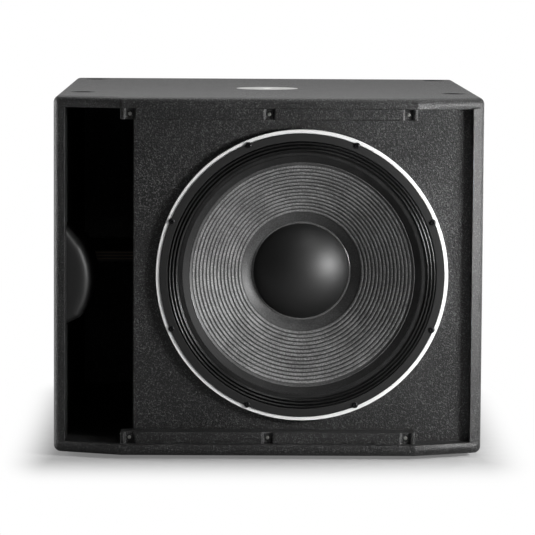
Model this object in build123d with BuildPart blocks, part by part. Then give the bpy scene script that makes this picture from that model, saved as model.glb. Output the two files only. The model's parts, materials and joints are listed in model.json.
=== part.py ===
from build123d import *
import os
from math import acos, cos, pi, sin, sqrt

# Powered 18-inch subwoofer cabinet with a full-height side port, in millimetres.
# Origin on the floor under the middle of the cabinet, +Z up, the driver faces -Y.

os.makedirs("parts", exist_ok=True)

# Cabinet shell, plywood
body_width = 675.0
body_depth = 740.0
body_height = 563.0
panel = 18.0
straight_front = 462.0
front_sweep = 40.0
edge_radius = 11.0
corner_radius = 12.0
baffle_setback = 50.0
fit_gap = 0.3

# Feet, and the dishes in the top that hold the feet of the next cabinet
foot_height = 6.0
foot_radius = 18.0
foot_base_radius = 16.0
foot_sides = 24
foot_side = 40.0
foot_front = 170.0
foot_rear = 54.0
dish_radius = 19.7
dish_depth = 5.0

# Port and braces
port_width = 106.0
port_length = 550.0
port_wall_round = 8.0
port_brace_front = 350.0
window_brace_front = 430.0
window_frame = 60.0
window_corner = 25.0

# Grille battens across the front
batten_width = 464.0
batten_height = 18.0
batten_depth = 36.0
batten_round = 1.8
notch_width = 13.4
notch_depth = 6.0
notch_spacing = 217.3

# Driver, 18 inch. It fills the height between the battens but for a margin, and its radii
# step in from the flange. Depths are measured in from the baffle's face along its axis.
# Turned pieces are drawn with this many flats, which keeps the whole model light.
turned_sides = 30
driver_margin = 15.5
flange_rim = 5.7
flange_front = -10.0
flange_seat = -7.5
gasket_width = 12.5
gasket_front = -11.5
bolt_inset = 8.5
bolt_count = 8
bolt_head_radius = 5.0
bolt_head_height = 2.5
flange_lap = 16.0
cutout_gap = 1.0
basket_wall = 4.5
basket_step = 14.0
spoke_count = 8
spoke_width = 12.0
spoke_bite = 1.0
spoke_root_drop = 2.0
# Each knee of a spoke: how far in from the basket's rim, and how far above its floor
spoke_outer_knee = (10.0, 53.1)
spoke_inner_knee = (30.0, 59.0)
spider_cup_radius = 106.0
spider_cup_wall = 8.0
spider_cup_depth = 26.0
spider_drop = 6.614
basket_floor_thick = 6.0
basket_bore = 60.0

surround_width = 14.9
cone_lip = 5.6
cone_lip_thick = 1.2
cone_slope = 0.678
cone_thick = 1.8
cone_travel = 12.0
rib_first = 97.5
rib_pitch = 5.63
rib_height = 1.1
plain_edge = 17.0
surround_thick = 0.6
roll_set = 0.6
roll_pitch = 6.9
roll_count = 3
roll_height = 3.6
cap_radius = 76.7
cap_height = 38.0
cap_thick = 1.0
cap_rings = 4

coil_radius = 51.0
former_thick = 1.0
former_clearance = 2.0
winding_thick = 1.3
winding_length = 24.0
gap_clearance = 1.2
pole_clearance = 1.5
spider_thick = 0.8
spider_first = 66.0
spider_pitch = 14.0
spider_count = 2
spider_height = 3.0
top_plate_radius = 104.0
top_plate_thick = 12.0
magnet_radius = 110.0
magnet_bore = 60.0
magnet_thick = 28.0
back_plate_radius = 108.0
back_plate_thick = 12.0
vent_radius = 14.0
terminal_width = 34.0
terminal_height = 14.0
terminal_length = 20.0

# Side handles
handle_front = 80.0
handle_length = 216.0
handle_top = 78.0
handle_bottom = 80.0
handle_bulge = 42.0
handle_shoulder = (26.0, 48.0)
handle_heel = (23.0, 69.0)
handle_crown = 14.0
handle_wall = 3.0
handle_flange = 15.0
handle_flange_thick = 3.0
handle_flange_corner = 18.0
handle_drop = 5.0
grip_radius = 13.0
grip_rise = 22.0
grip_inset = 17.0

# Pole mount in the top, tapped M20
pole_front = 335.0
pole_plate_radius = 51.0
pole_plate_thick = 3.0
pole_boss_radius = 15.0
pole_boss_length = 42.0
pole_thread_radius = 8.75

# Caster inserts in the back, tapped M8
caster_spacing = 63.0
caster_edge = 29.5
caster_low = 81.0
caster_drop = 89.0
caster_hole_radius = 3.4

# Amplifier module in the back, seen from behind. The control strip is below the heatsink:
# jacks are set in from the left edge, switch and inlet from the right, the rest from the middle
amp_width = 290.0
amp_height = 420.0
amp_flange = 15.0
amp_recess = 40.0
amp_sheet = 2.0
amp_cover_depth = 62.0
amp_cover_margin = 8.0
amp_cover_sheet = 1.5
board_margin = 12.0
board_thick = 1.6
board_standoff = 8.0
standoff_size = 8.0
heatsink_side = 25.0
heatsink_top = 45.0
control_strip = 185.0
heatsink_base = 6.0
heatsink_depth = 30.0
fin_count = 16
fin_thick = 3.0
jack_inset = 53.0
jack_pitch = 44.0
jack_row = 144.0
link_drop = 48.0
jack_width = 26.0
jack_height = 31.0
jack_plate = 2.0
jack_wall = 2.0
jack_bore = 9.5
jack_bore_drop = 1.5
jack_length = 22.0
jack_floor = 4.0
jack_core = 6.5
jack_core_set = 5.0
pin_size = 2.4
pin_circle = 5.0
jack_hole_slack = 1.0
jack_sides = 18
latch_width = 8.0
latch_height = 2.8
latch_rise = 12.0
latch_proud = 3.0
knob_x = 8.0
knob_radius = 9.0
knob_length = 14.0
knob_sides = 18
knob_shaft_radius = 3.0
knob_shaft_gap = 0.5
pot_size = 17.0
pot_depth = 10.0
button_size = 7.0
button_proud = 5.0
button_travel = 2.0
led_x = 50.0
led_size = 4.0
led_height = 2.0
led_count = 3
led_pitch = 12.0
supply_inset = 45.0
switch_row = 130.0
switch_width = 30.0
switch_height = 22.0
switch_plate = 2.0
switch_lip = 1.0
rocker_width = 24.0
rocker_half = 6.2
rocker_rise = 2.5
rocker_dip = 1.0
rocker_keel = 4.0
rocker_throw = 16.0
inlet_row = 76.0
inlet_width = 48.0
inlet_height = 27.0
inlet_plate = 2.0
inlet_lip = 2.0
inlet_wall = 3.0
inlet_depth = 18.0
blade_length = 9.0
blade_size = (2.0, 4.0)
blade_pitch = 7.0
body_wall = 2.0
control_gap = 0.3

# Everything below follows from the values above
floor_z = foot_height
top_z = foot_height + body_height
mid_z = foot_height + body_height / 2
low_z = floor_z + panel
high_z = top_z - panel
inner_height = high_z - low_z
front_y = -body_depth / 2
rear_y = body_depth / 2
side_x = body_width / 2
inner_x = side_x - panel
corner_y = front_y + front_sweep
baffle_y = front_y + baffle_setback
rear_inner_y = rear_y - panel
port_x = -inner_x + port_width
driver_x = (port_x + inner_x) / 2
foot_front_y = front_y + foot_front
foot_rear_y = rear_y - foot_rear
foot_x = side_x - foot_side
foot_spots = [(x, y) for x in (-foot_x, foot_x) for y in (foot_front_y, foot_rear_y)]
pole_y = front_y + pole_front
flange_radius = inner_height / 2 - batten_height - driver_margin
seat_radius = flange_radius - flange_rim
gasket_radius = seat_radius - fit_gap
gasket_inner = gasket_radius - gasket_width
bolt_circle = flange_radius - bolt_inset
cutout_radius = flange_radius - flange_lap
basket_outer = cutout_radius - cutout_gap
basket_inner = basket_outer - basket_wall
cone_radius = basket_inner - surround_width


# ---------------------------------------------------------------- shell
with BuildSketch() as plan:
    with BuildLine():
        Polyline(
            (-straight_front / 2, front_y),
            (straight_front / 2, front_y),
            (side_x, corner_y),
            (side_x, rear_y),
            (-side_x, rear_y),
            (-side_x, corner_y),
            close=True,
        )
    make_face()
    fillet(plan.vertices().filter_by(lambda v: abs(v.X) > side_x - 1), corner_radius)

with BuildPart() as top_panel:
    with BuildSketch(Plane.XY.offset(high_z)):
        add(plan.sketch)
    extrude(amount=panel)
    fillet(top_panel.faces().sort_by(Axis.Z)[-1].edges(), edge_radius)
    with BuildSketch(Plane.XY.offset(top_z)):
        with Locations(*foot_spots):
            RegularPolygon(dish_radius, foot_sides)
    extrude(amount=-dish_depth, mode=Mode.SUBTRACT)
    with BuildSketch(Plane.XY.offset(top_z)):
        with Locations((0, pole_y)):
            RegularPolygon(pole_plate_radius + fit_gap, turned_sides)
    extrude(amount=-pole_plate_thick, mode=Mode.SUBTRACT)
    with BuildSketch(Plane.XY.offset(top_z)):
        with Locations((0, pole_y)):
            RegularPolygon(pole_boss_radius + fit_gap, turned_sides)
    extrude(amount=-panel, mode=Mode.SUBTRACT)
top_panel.part.label = "top_panel"
export_step(top_panel.part, "parts/top_panel.step")

with BuildPart() as bottom_panel:
    with BuildSketch(Plane.XY.offset(floor_z)):
        add(plan.sketch)
    extrude(amount=panel)
    fillet(bottom_panel.faces().sort_by(Axis.Z)[0].edges(), edge_radius)
bottom_panel.part.label = "bottom_panel"
export_step(bottom_panel.part, "parts/bottom_panel.step")

handle_z = mid_z - handle_drop
handle_y = front_y + handle_front + handle_length / 2
handle_tall = handle_top + handle_bottom
handle_middle = (handle_top - handle_bottom) / 2

for side, name in ((-1, "left"), (1, "right")):
    # The plane of the outer face, looking out of the cabinet
    outer_face = Plane(origin=(side * side_x, handle_y, handle_z), x_dir=(0, side, 0), z_dir=(side, 0, 0))
    with BuildPart() as side_panel:
        with BuildSketch(Plane.XY.offset(low_z)):
            add(plan.sketch)
            with Locations((side * (side_x - panel / 2), 0)):
                Rectangle(panel, body_depth, mode=Mode.INTERSECT)
        extrude(amount=inner_height)
        with BuildSketch(outer_face) as rebate:
            with Locations((0, handle_middle)):
                Rectangle(
                    handle_length + 2 * (handle_flange + fit_gap), handle_tall + 2 * (handle_flange + fit_gap)
                )
            chamfer(rebate.vertices(), handle_flange_corner)
        extrude(amount=-handle_flange_thick, mode=Mode.SUBTRACT)
        with BuildSketch(outer_face):
            with Locations((0, handle_middle)):
                Rectangle(handle_length + 2 * fit_gap, handle_tall + 2 * fit_gap)
        extrude(amount=-panel, mode=Mode.SUBTRACT)
    side_panel.part.label = f"{name}_side_panel"
    export_step(side_panel.part, f"parts/{name}_side_panel.step")

caster_x = side_x - caster_edge
caster_pairs = [
    (x, z) for x in (-caster_x, caster_x) for z in (floor_z + caster_low, top_z - caster_drop)
]

rear_face = Plane(origin=(0, rear_y, 0), x_dir=(-1, 0, 0), z_dir=(0, 1, 0))
# The amplifier's plane, seen from behind: x to the right, y up, z out of the cabinet
amp_rear = Plane(origin=(driver_x, rear_y, mid_z), x_dir=(-1, 0, 0), z_dir=(0, 1, 0))

with BuildPart() as rear_panel:
    with BuildSketch(rear_face):
        with Locations((0, mid_z)):
            Rectangle(2 * inner_x, inner_height)
    extrude(amount=-panel)
    with BuildSketch(amp_rear):
        Rectangle(amp_width + 2 * (amp_flange + fit_gap), amp_height + 2 * (amp_flange + fit_gap))
    extrude(amount=-amp_sheet, mode=Mode.SUBTRACT)
    with BuildSketch(amp_rear):
        Rectangle(amp_width + 2 * fit_gap, amp_height + 2 * fit_gap)
    extrude(amount=-panel, mode=Mode.SUBTRACT)
    with BuildSketch(rear_face):
        with Locations(*caster_pairs):
            with GridLocations(0, caster_spacing, 1, 2):
                Circle(caster_hole_radius)
    extrude(amount=-panel, mode=Mode.SUBTRACT)
rear_panel.part.label = "rear_panel"
export_step(rear_panel.part, "parts/rear_panel.step")

# The driver's own plane: x along the radius, z into the cabinet along the driver's axis
driver_face = Plane(origin=(driver_x, baffle_y, mid_z), x_dir=(1, 0, 0), z_dir=(0, 1, 0))

with BuildPart() as front_baffle:
    with BuildSketch(driver_face):
        Rectangle(inner_x - port_x, inner_height)
        RegularPolygon(cutout_radius, turned_sides, mode=Mode.SUBTRACT)
    extrude(amount=panel)
front_baffle.part.label = "front_baffle"
export_step(front_baffle.part, "parts/front_baffle.step")

port_start_y = baffle_y + panel
port_end_y = baffle_y + port_length
with BuildPart() as port_wall:
    with BuildSketch(Plane.XY.offset(low_z)) as port_plan:
        with Locations((port_x + panel / 2, (port_start_y + port_end_y) / 2)):
            Rectangle(panel, port_end_y - port_start_y)
        fillet(port_plan.vertices().group_by(Axis.Y)[-1], port_wall_round)
    extrude(amount=inner_height)
port_wall.part.label = "port_wall"
export_step(port_wall.part, "parts/port_wall.step")

brace_start_y = front_y + port_brace_front
brace_end_y = port_end_y - port_wall_round
with BuildPart() as port_brace:
    with BuildSketch(Plane.XY.offset(mid_z - panel / 2)):
        with Locations((port_x - port_width / 2, (brace_start_y + brace_end_y) / 2)):
            Rectangle(port_width, brace_end_y - brace_start_y)
    extrude(amount=panel)
port_brace.part.label = "port_brace"
export_step(port_brace.part, "parts/port_brace.step")

chamber_left = port_x + panel
chamber_x = (chamber_left + inner_x) / 2
window_wide = (inner_x - chamber_left - 3 * window_frame) / 2
window_tall = (inner_height - 3 * window_frame) / 2
with BuildSketch() as window:
    Rectangle(window_wide, window_tall)
    chamfer(window.vertices(), window_corner)
with BuildPart() as window_brace:
    with BuildSketch(
        Plane(origin=(chamber_x, front_y + window_brace_front, mid_z), x_dir=(1, 0, 0), z_dir=(0, 1, 0))
    ):
        Rectangle(inner_x - chamber_left, inner_height)
        with GridLocations(window_wide + window_frame, window_tall + window_frame, 2, 2):
            add(window.sketch, mode=Mode.SUBTRACT)
    extrude(amount=panel)
window_brace.part.label = "window_brace"
export_step(window_brace.part, "parts/window_brace.step")

batten_x = batten_width / 2
batten_back_y = baffle_y
batten_front_y = batten_back_y - batten_depth
notch_y = batten_front_y + notch_depth / 2
for name, batten_z in (("top", high_z - batten_height), ("bottom", low_z)):
    with BuildPart() as batten:
        with BuildSketch(Plane.XY.offset(batten_z)) as batten_plan:
            with Locations((0, (batten_front_y + batten_back_y) / 2)):
                Rectangle(batten_width, batten_depth)
            with Locations(*[(x, notch_y) for x in (-notch_spacing, 0, notch_spacing)]):
                Rectangle(notch_width, notch_depth, mode=Mode.SUBTRACT)
            chamfer(batten_plan.vertices().group_by(Axis.Y)[0], batten_round)
        extrude(amount=batten_height)
    batten.part.label = f"{name}_grille_batten"
    export_step(batten.part, f"parts/{name}_grille_batten.step")

# ---------------------------------------------------------------- driver


def turned(plane, profile, sides=turned_sides):
    """A solid with flat facets: (radius, depth) corners carried round the plane's z axis."""
    turns = [Plane(plane * Rotation(0, 0, 360 * i / sides)) for i in range(sides)]
    rings = [[turn.from_local_coords(Vector(r, 0, depth)) for r, depth in profile] for turn in turns]
    faces = []
    for here, after in zip(rings, rings[1:] + rings[:1]):
        for i in range(len(profile)):
            corners = [here[i - 1], here[i], after[i], after[i - 1]]
            apart = [corner for k, corner in enumerate(corners) if (corner - corners[k - 1]).length > 1e-6]
            if len(apart) > 2:
                faces.append(Face(Wire.make_polygon(apart)))
    return Solid(Shell(faces))


def ring(outer, inner, front, back):
    """A flat ring between two depths behind the baffle's face."""
    return turned(driver_face, [(outer, front), (outer, back), (inner, back), (inner, front)])


def waves(first, pitch, count, height, base):
    """Corners of evenly spaced flat-topped waves in front of a base depth."""
    corners = []
    for i in range(count):
        crest = first + i * pitch
        corners += [(crest - 3 * pitch / 8, base), (crest - pitch / 8, base - height)]
        corners += [(crest + pitch / 8, base - height), (crest + 3 * pitch / 8, base)]
    return corners


def spoke_section(angle):
    """A plane through the driver's axis: x along the radius at that angle, y into the cabinet."""
    turn = Plane(driver_face * Rotation(0, 0, angle))
    return Plane(origin=turn.origin, x_dir=turn.x_dir, z_dir=-turn.y_dir)


cone_front = flange_seat
lip_inner = cone_radius - cone_lip


def cone_depth(radius):
    """Depth of the cone's smooth front surface at a radius."""
    return cone_front + (lip_inner - radius) * cone_slope


spider_seat = cone_depth(coil_radius) + spider_drop
basket_floor = spider_seat + spider_cup_depth
with BuildPart() as driver_frame:
    add(ring(flange_radius, basket_inner, flange_seat, 0))
    add(ring(flange_radius, seat_radius, flange_front, flange_seat))
    add(ring(basket_outer, basket_inner, 0, basket_step))
    add(ring(spider_cup_radius, spider_cup_radius - spider_cup_wall, spider_seat, basket_floor))
    add(ring(spider_cup_radius, basket_bore, basket_floor - basket_floor_thick, basket_floor))
    rim = basket_inner + spoke_bite
    cup_outside = spider_cup_radius - spoke_bite
    cup_middle = spider_cup_radius - spider_cup_wall / 2
    for i in range(spoke_count):
        with BuildSketch(spoke_section(360 * (i + 0.5) / spoke_count)):
            with BuildLine():
                Polyline(
                    (rim, 0),
                    (basket_outer - spoke_bite, 0),
                    (basket_outer - spoke_bite, basket_step),
                    (rim - spoke_outer_knee[0], basket_floor - spoke_outer_knee[1]),
                    (cup_outside, basket_floor),
                    (cup_middle, basket_floor),
                    (cup_middle, spider_seat + spoke_root_drop),
                    (rim - spoke_inner_knee[0], basket_floor - spoke_inner_knee[1]),
                    (rim, basket_step),
                    close=True,
                )
            make_face()
        extrude(amount=spoke_width / 2, both=True)
driver_frame.part.label = "driver_frame"
export_step(driver_frame.part, "parts/driver_frame.step")

surround_base = flange_seat - surround_thick
roll_first = cone_radius + roll_set
with BuildPart() as surround:
    add(
        turned(
            driver_face,
            [(gasket_radius, surround_base), (gasket_radius, flange_seat)]
            + [(lip_inner, flange_seat), (lip_inner, surround_base)]
            + waves(roll_first, roll_pitch, roll_count, roll_height, surround_base),
        )
    )
surround.part.label = "surround"
export_step(surround.part, "parts/surround.step")

with BuildPart() as front_gasket:
    add(ring(gasket_radius, gasket_inner, gasket_front, surround_base))
front_gasket.part.label = "front_gasket"
export_step(front_gasket.part, "parts/front_gasket.step")

with BuildPart() as driver_screws:
    with BuildSketch(driver_face.offset(gasket_front - bolt_head_height)):
        with PolarLocations(bolt_circle, bolt_count, start_angle=180 / bolt_count):
            RegularPolygon(bolt_head_radius, 6)
    extrude(amount=bolt_head_height)
driver_screws.part.label = "driver_screws"
export_step(driver_screws.part, "parts/driver_screws.step")

neck_end = cone_depth(coil_radius) + cone_thick
rib_count = int((lip_inner - plain_edge - rib_first) / rib_pitch) + 1
rib_valleys = [rib_first + (i - 0.5) * rib_pitch for i in range(rib_count + 1)]
last_valley = rib_valleys[-1]
cone_profile = [(cone_radius, cone_front), (lip_inner, cone_front), (last_valley, cone_depth(last_valley))]
for valley in reversed(rib_valleys[:-1]):
    crest = valley + rib_pitch / 2
    cone_profile += [(crest, cone_depth(crest) - rib_height), (valley, cone_depth(valley))]
cone_profile += [
    (coil_radius, cone_depth(coil_radius)),
    (coil_radius, neck_end),
    (coil_radius + cone_thick / 2, neck_end),
    (lip_inner, cone_front + cone_thick * sqrt(1 + cone_slope**2)),
    (cone_radius, cone_front + cone_lip_thick),
]
with BuildPart() as cone:
    add(turned(driver_face, cone_profile))
cone.part.label = "cone"
export_step(cone.part, "parts/cone.step")

cap_sphere = (cap_radius**2 + cap_height**2) / (2 * cap_height)
cap_seat = cone_depth(cap_radius)
cap_centre = cap_seat + cap_sphere - cap_height


def cap_arc(sphere):
    """Corners up a dome of that radius, from the middle of the crown down to the cap's seat."""
    edge = acos((cap_centre - cap_seat) / sphere)
    turns = [edge * i / cap_rings for i in range(cap_rings + 1)]
    return [(sphere * sin(turn), cap_centre - sphere * cos(turn)) for turn in turns]


with BuildPart() as dust_cap:
    add(turned(driver_face, cap_arc(cap_sphere) + cap_arc(cap_sphere - cap_thick)[::-1]))
dust_cap.part.label = "dust_cap"
export_step(dust_cap.part, "parts/dust_cap.step")

plate_end = basket_floor + top_plate_thick
magnet_end = plate_end + magnet_thick
former_end = magnet_end - cone_travel - former_clearance
gap_middle = (basket_floor + plate_end) / 2
with BuildPart() as voice_coil:
    add(ring(coil_radius, coil_radius - former_thick, neck_end - cone_thick, former_end))
    add(
        ring(
            coil_radius + winding_thick,
            coil_radius - former_thick,
            gap_middle - winding_length / 2,
            gap_middle + winding_length / 2,
        )
    )
voice_coil.part.label = "voice_coil"
export_step(voice_coil.part, "parts/voice_coil.step")

spider_front = spider_seat - spider_thick
with BuildPart() as spider:
    add(
        turned(
            driver_face,
            [(spider_cup_radius, spider_front), (spider_cup_radius, spider_seat)]
            + [(coil_radius, spider_seat), (coil_radius, spider_front)]
            + waves(spider_first, spider_pitch, spider_count, spider_height, spider_front),
        )
    )
spider.part.label = "spider"
export_step(spider.part, "parts/spider.step")

plate_bore = coil_radius + winding_thick + gap_clearance
pole_radius = coil_radius - former_thick - pole_clearance
with BuildPart() as top_plate:
    add(ring(top_plate_radius, plate_bore, basket_floor, plate_end))
top_plate.part.label = "top_plate"
export_step(top_plate.part, "parts/top_plate.step")

with BuildPart() as magnet_ring:
    add(ring(magnet_radius, magnet_bore, plate_end, magnet_end))
magnet_ring.part.label = "magnet_ring"
export_step(magnet_ring.part, "parts/magnet_ring.step")

with BuildPart() as back_plate:
    add(ring(back_plate_radius, vent_radius, magnet_end, magnet_end + back_plate_thick))
    add(ring(pole_radius, vent_radius, basket_floor, magnet_end))
back_plate.part.label = "back_plate"
export_step(back_plate.part, "parts/back_plate.step")

cup_flat = spider_cup_radius * cos(pi / turned_sides)
with BuildPart() as driver_terminals:
    with BuildSketch(driver_face.offset(basket_floor - terminal_length)):
        with Locations((0, -cup_flat - terminal_height / 2)):
            Rectangle(terminal_width, terminal_height)
    extrude(amount=terminal_length)
driver_terminals.part.label = "driver_terminals"
export_step(driver_terminals.part, "parts/driver_terminals.step")

# ---------------------------------------------------------------- handles
# The cup's section: x runs from the outer face into the cabinet, y is up from the handle's middle
with BuildSketch() as cup_section:
    with BuildLine():
        Polyline(
            (panel + handle_heel[0], -handle_heel[1]),
            (panel, -handle_bottom),
            (0, -handle_bottom),
            (0, handle_top),
            (panel, handle_top),
            (panel + handle_shoulder[0], handle_shoulder[1]),
        )
        ThreePointArc(
            (panel + handle_shoulder[0], handle_shoulder[1]),
            (panel + handle_bulge, -handle_crown),
            (panel + handle_heel[0], -handle_heel[1]),
        )
    make_face()
with BuildSketch() as cup_hollow:
    add(cup_section.sketch)
    offset(amount=-handle_wall, kind=Kind.INTERSECTION)
    # Opens the hollow through the outer face
    with Locations((0, (handle_top - handle_bottom) / 2)):
        Rectangle(4 * handle_wall, handle_top + handle_bottom - 2 * handle_wall)

for side, name in ((-1, "left"), (1, "right")):
    outer_face = Plane(origin=(side * side_x, handle_y, handle_z), x_dir=(0, side, 0), z_dir=(side, 0, 0))
    section_plane = Plane(
        origin=(side * side_x, handle_y, handle_z), x_dir=(-side, 0, 0), z_dir=(0, side, 0)
    )
    with BuildPart() as handle_cup:
        with BuildSketch(section_plane):
            add(cup_section.sketch)
        extrude(amount=handle_length / 2, both=True)
        with BuildSketch(outer_face) as flange:
            with Locations((0, handle_middle)):
                Rectangle(handle_length + 2 * handle_flange, handle_tall + 2 * handle_flange)
            chamfer(flange.vertices(), handle_flange_corner)
        extrude(amount=-handle_flange_thick)
        with BuildSketch(section_plane):
            add(cup_hollow.sketch)
        extrude(amount=handle_length / 2 - handle_wall, both=True, mode=Mode.SUBTRACT)
    handle_cup.part.label = f"{name}_handle_cup"
    export_step(handle_cup.part, f"parts/{name}_handle_cup.step")

    with BuildPart() as handle_bar:
        with BuildSketch(section_plane):
            with Locations((grip_inset, grip_rise)):
                RegularPolygon(grip_radius, foot_sides)
        extrude(amount=handle_length / 2 - handle_wall, both=True)
    handle_bar.part.label = f"{name}_handle_bar"
    export_step(handle_bar.part, f"parts/{name}_handle_bar.step")

# ---------------------------------------------------------------- feet and pole mount
foot_names = ["left_front_foot", "left_rear_foot", "right_front_foot", "right_rear_foot"]
for name, (x, y) in zip(foot_names, foot_spots):
    with BuildPart() as foot:
        add(
            turned(
                Plane((x, y, 0)),
                [(0, 0), (foot_base_radius, 0), (foot_radius, foot_height), (0, foot_height)],
                foot_sides,
            )
        )
    foot.part.label = name
    export_step(foot.part, f"parts/{name}.step")

pole_end = -pole_plate_thick - pole_boss_length
pole_profile = [
    (0, 0),
    (pole_plate_radius, 0),
    (pole_plate_radius, -pole_plate_thick),
    (pole_boss_radius, -pole_plate_thick),
    (pole_boss_radius, pole_end),
    (0, pole_end),
]
with BuildPart() as pole_socket:
    add(turned(Plane((0, pole_y, top_z)), pole_profile))
    with BuildSketch(Plane.XY.offset(top_z)):
        with Locations((0, pole_y)):
            Circle(pole_thread_radius)
    extrude(amount=pole_end, mode=Mode.SUBTRACT)
pole_socket.part.label = "pole_socket"
export_step(pole_socket.part, "parts/pole_socket.step")

# ---------------------------------------------------------------- amplifier
tray_floor = amp_rear.offset(-amp_recess)
tray_back = amp_rear.offset(-amp_recess - amp_sheet)
amp_left = -amp_width / 2
amp_right = amp_width / 2
amp_bottom = -amp_height / 2
amp_top = amp_height / 2
heatsink_width = amp_width - 2 * heatsink_side
heatsink_height = amp_height - heatsink_top - control_strip
heatsink_rise = (amp_top - heatsink_top + amp_bottom + control_strip) / 2
jack_y = amp_bottom + jack_row
link_y = jack_y - link_drop
jack_spots = [(amp_left + jack_inset, jack_y), (amp_left + jack_inset + jack_pitch, jack_y)]
link_spots = [(x, link_y) for x, y in jack_spots]
knob_spot = (knob_x, jack_y)
button_spot = (knob_x, link_y)
led_spot = (led_x, jack_y)
switch_spot = (amp_right - supply_inset, amp_bottom + switch_row)
inlet_spot = (amp_right - supply_inset, amp_bottom + inlet_row)
jack_outer = jack_bore + jack_wall
jack_hole_width = 2 * (jack_outer + control_gap)
jack_hole_height = 2 * (jack_outer + jack_bore_drop + control_gap) + jack_hole_slack
inlet_body = (inlet_width - 2 * inlet_lip, inlet_height - 2 * inlet_lip)
switch_body = (switch_width - 2 * switch_lip, switch_height - 2 * switch_lip)
cover_width = amp_width - 2 * amp_cover_margin
cover_height = amp_height - 2 * amp_cover_margin
shaft_hole = knob_shaft_radius + knob_shaft_gap

with BuildPart() as amp_tray:
    with BuildSketch(amp_rear):
        Rectangle(amp_width + 2 * amp_flange, amp_height + 2 * amp_flange)
    extrude(amount=-amp_sheet)
    with BuildSketch(amp_rear):
        Rectangle(amp_width, amp_height)
    extrude(amount=-amp_recess - amp_sheet)
    with BuildSketch(amp_rear):
        Rectangle(amp_width - 2 * amp_sheet, amp_height - 2 * amp_sheet)
    extrude(amount=-amp_recess, mode=Mode.SUBTRACT)
    with BuildSketch(tray_floor):
        with Locations(*jack_spots, *link_spots):
            Rectangle(jack_hole_width, jack_hole_height)
        with Locations(knob_spot):
            RegularPolygon(shaft_hole, jack_sides)
        with Locations(button_spot):
            Rectangle(button_size + 2 * control_gap, button_size + 2 * control_gap)
        with Locations(switch_spot):
            Rectangle(*switch_body)
        with Locations(inlet_spot):
            Rectangle(*inlet_body)
    extrude(amount=-amp_sheet, mode=Mode.SUBTRACT)
amp_tray.part.label = "amp_tray"
export_step(amp_tray.part, "parts/amp_tray.step")

with BuildPart() as heatsink:
    with BuildSketch(tray_floor):
        with Locations((0, heatsink_rise)):
            Rectangle(heatsink_width, heatsink_height)
    extrude(amount=heatsink_base)
    with BuildSketch(tray_floor.offset(heatsink_base)):
        with Locations((0, heatsink_rise)):
            with GridLocations((heatsink_width - fin_thick) / (fin_count - 1), 0, fin_count, 1):
                Rectangle(fin_thick, heatsink_height)
    extrude(amount=heatsink_depth - heatsink_base)
heatsink.part.label = "heatsink"
export_step(heatsink.part, "parts/heatsink.step")

with BuildPart() as amp_cover:
    with BuildSketch(tray_back):
        Rectangle(cover_width, cover_height)
    extrude(amount=-amp_cover_depth)
    with BuildSketch(tray_back):
        Rectangle(cover_width - 2 * amp_cover_sheet, cover_height - 2 * amp_cover_sheet)
    extrude(amount=amp_cover_sheet - amp_cover_depth, mode=Mode.SUBTRACT)
amp_cover.part.label = "amp_cover"
export_step(amp_cover.part, "parts/amp_cover.step")

board_width = heatsink_width - 2 * board_margin
board_height = heatsink_height - 2 * board_margin
with BuildPart() as amp_board:
    with BuildSketch(tray_back.offset(-board_standoff)):
        with Locations((0, heatsink_rise)):
            Rectangle(board_width, board_height)
    extrude(amount=-board_thick)
    with BuildSketch(tray_back):
        with Locations((0, heatsink_rise)):
            with GridLocations(board_width - standoff_size, board_height - standoff_size, 2, 2):
                Rectangle(standoff_size, standoff_size)
    extrude(amount=-board_standoff)
amp_board.part.label = "amp_board"
export_step(amp_board.part, "parts/amp_board.step")

# Connector shells: inputs have a socket core and a latch, links have three pins
connectors = [
    ("first_input", jack_spots[0], True),
    ("second_input", jack_spots[1], True),
    ("first_link", link_spots[0], False),
    ("second_link", link_spots[1], False),
]
jack_cavity = jack_plate + jack_length - jack_floor
for name, spot, is_input in connectors:
    jack_face = Plane(tray_floor * Location((*spot, 0)))
    bore_face = Plane(jack_face * Location((0, -jack_bore_drop, jack_plate)))
    with BuildPart() as jack:
        with BuildSketch(jack_face):
            Rectangle(jack_width, jack_height)
        extrude(amount=jack_plate)
        with BuildSketch(bore_face):
            RegularPolygon(jack_outer, jack_sides)
        extrude(amount=-jack_plate - jack_length)
        with BuildSketch(bore_face):
            RegularPolygon(jack_bore, jack_sides)
        extrude(amount=-jack_cavity, mode=Mode.SUBTRACT)
        with BuildSketch(bore_face.offset(-jack_cavity)):
            if is_input:
                RegularPolygon(jack_core, jack_sides // 2)
            else:
                with PolarLocations(pin_circle, 3, start_angle=90):
                    Rectangle(pin_size, pin_size)
        extrude(amount=jack_cavity - jack_core_set)
        if is_input:
            with BuildSketch(jack_face):
                with Locations((0, latch_rise)):
                    Rectangle(latch_width + 2 * control_gap, latch_height + 2 * control_gap)
            extrude(amount=jack_plate, mode=Mode.SUBTRACT)
    jack.part.label = f"{name}_jack"
    export_step(jack.part, f"parts/{name}_jack.step")

    if is_input:
        with BuildPart() as latch:
            with BuildSketch(jack_face.offset(jack_plate + latch_proud)):
                with Locations((0, latch_rise)):
                    Rectangle(latch_width, latch_height)
            extrude(amount=-latch_proud - jack_plate - amp_sheet)
        latch.part.label = f"{name}_latch"
        export_step(latch.part, f"parts/{name}_latch.step")

with BuildPart() as level_pot:
    with BuildSketch(tray_back):
        with Locations(knob_spot):
            Rectangle(pot_size, pot_size)
    extrude(amount=-pot_depth)
    with BuildSketch(tray_back):
        with Locations(knob_spot):
            RegularPolygon(shaft_hole, jack_sides)
    extrude(amount=body_wall - pot_depth, mode=Mode.SUBTRACT)
level_pot.part.label = "level_pot"
export_step(level_pot.part, "parts/level_pot.step")

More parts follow.
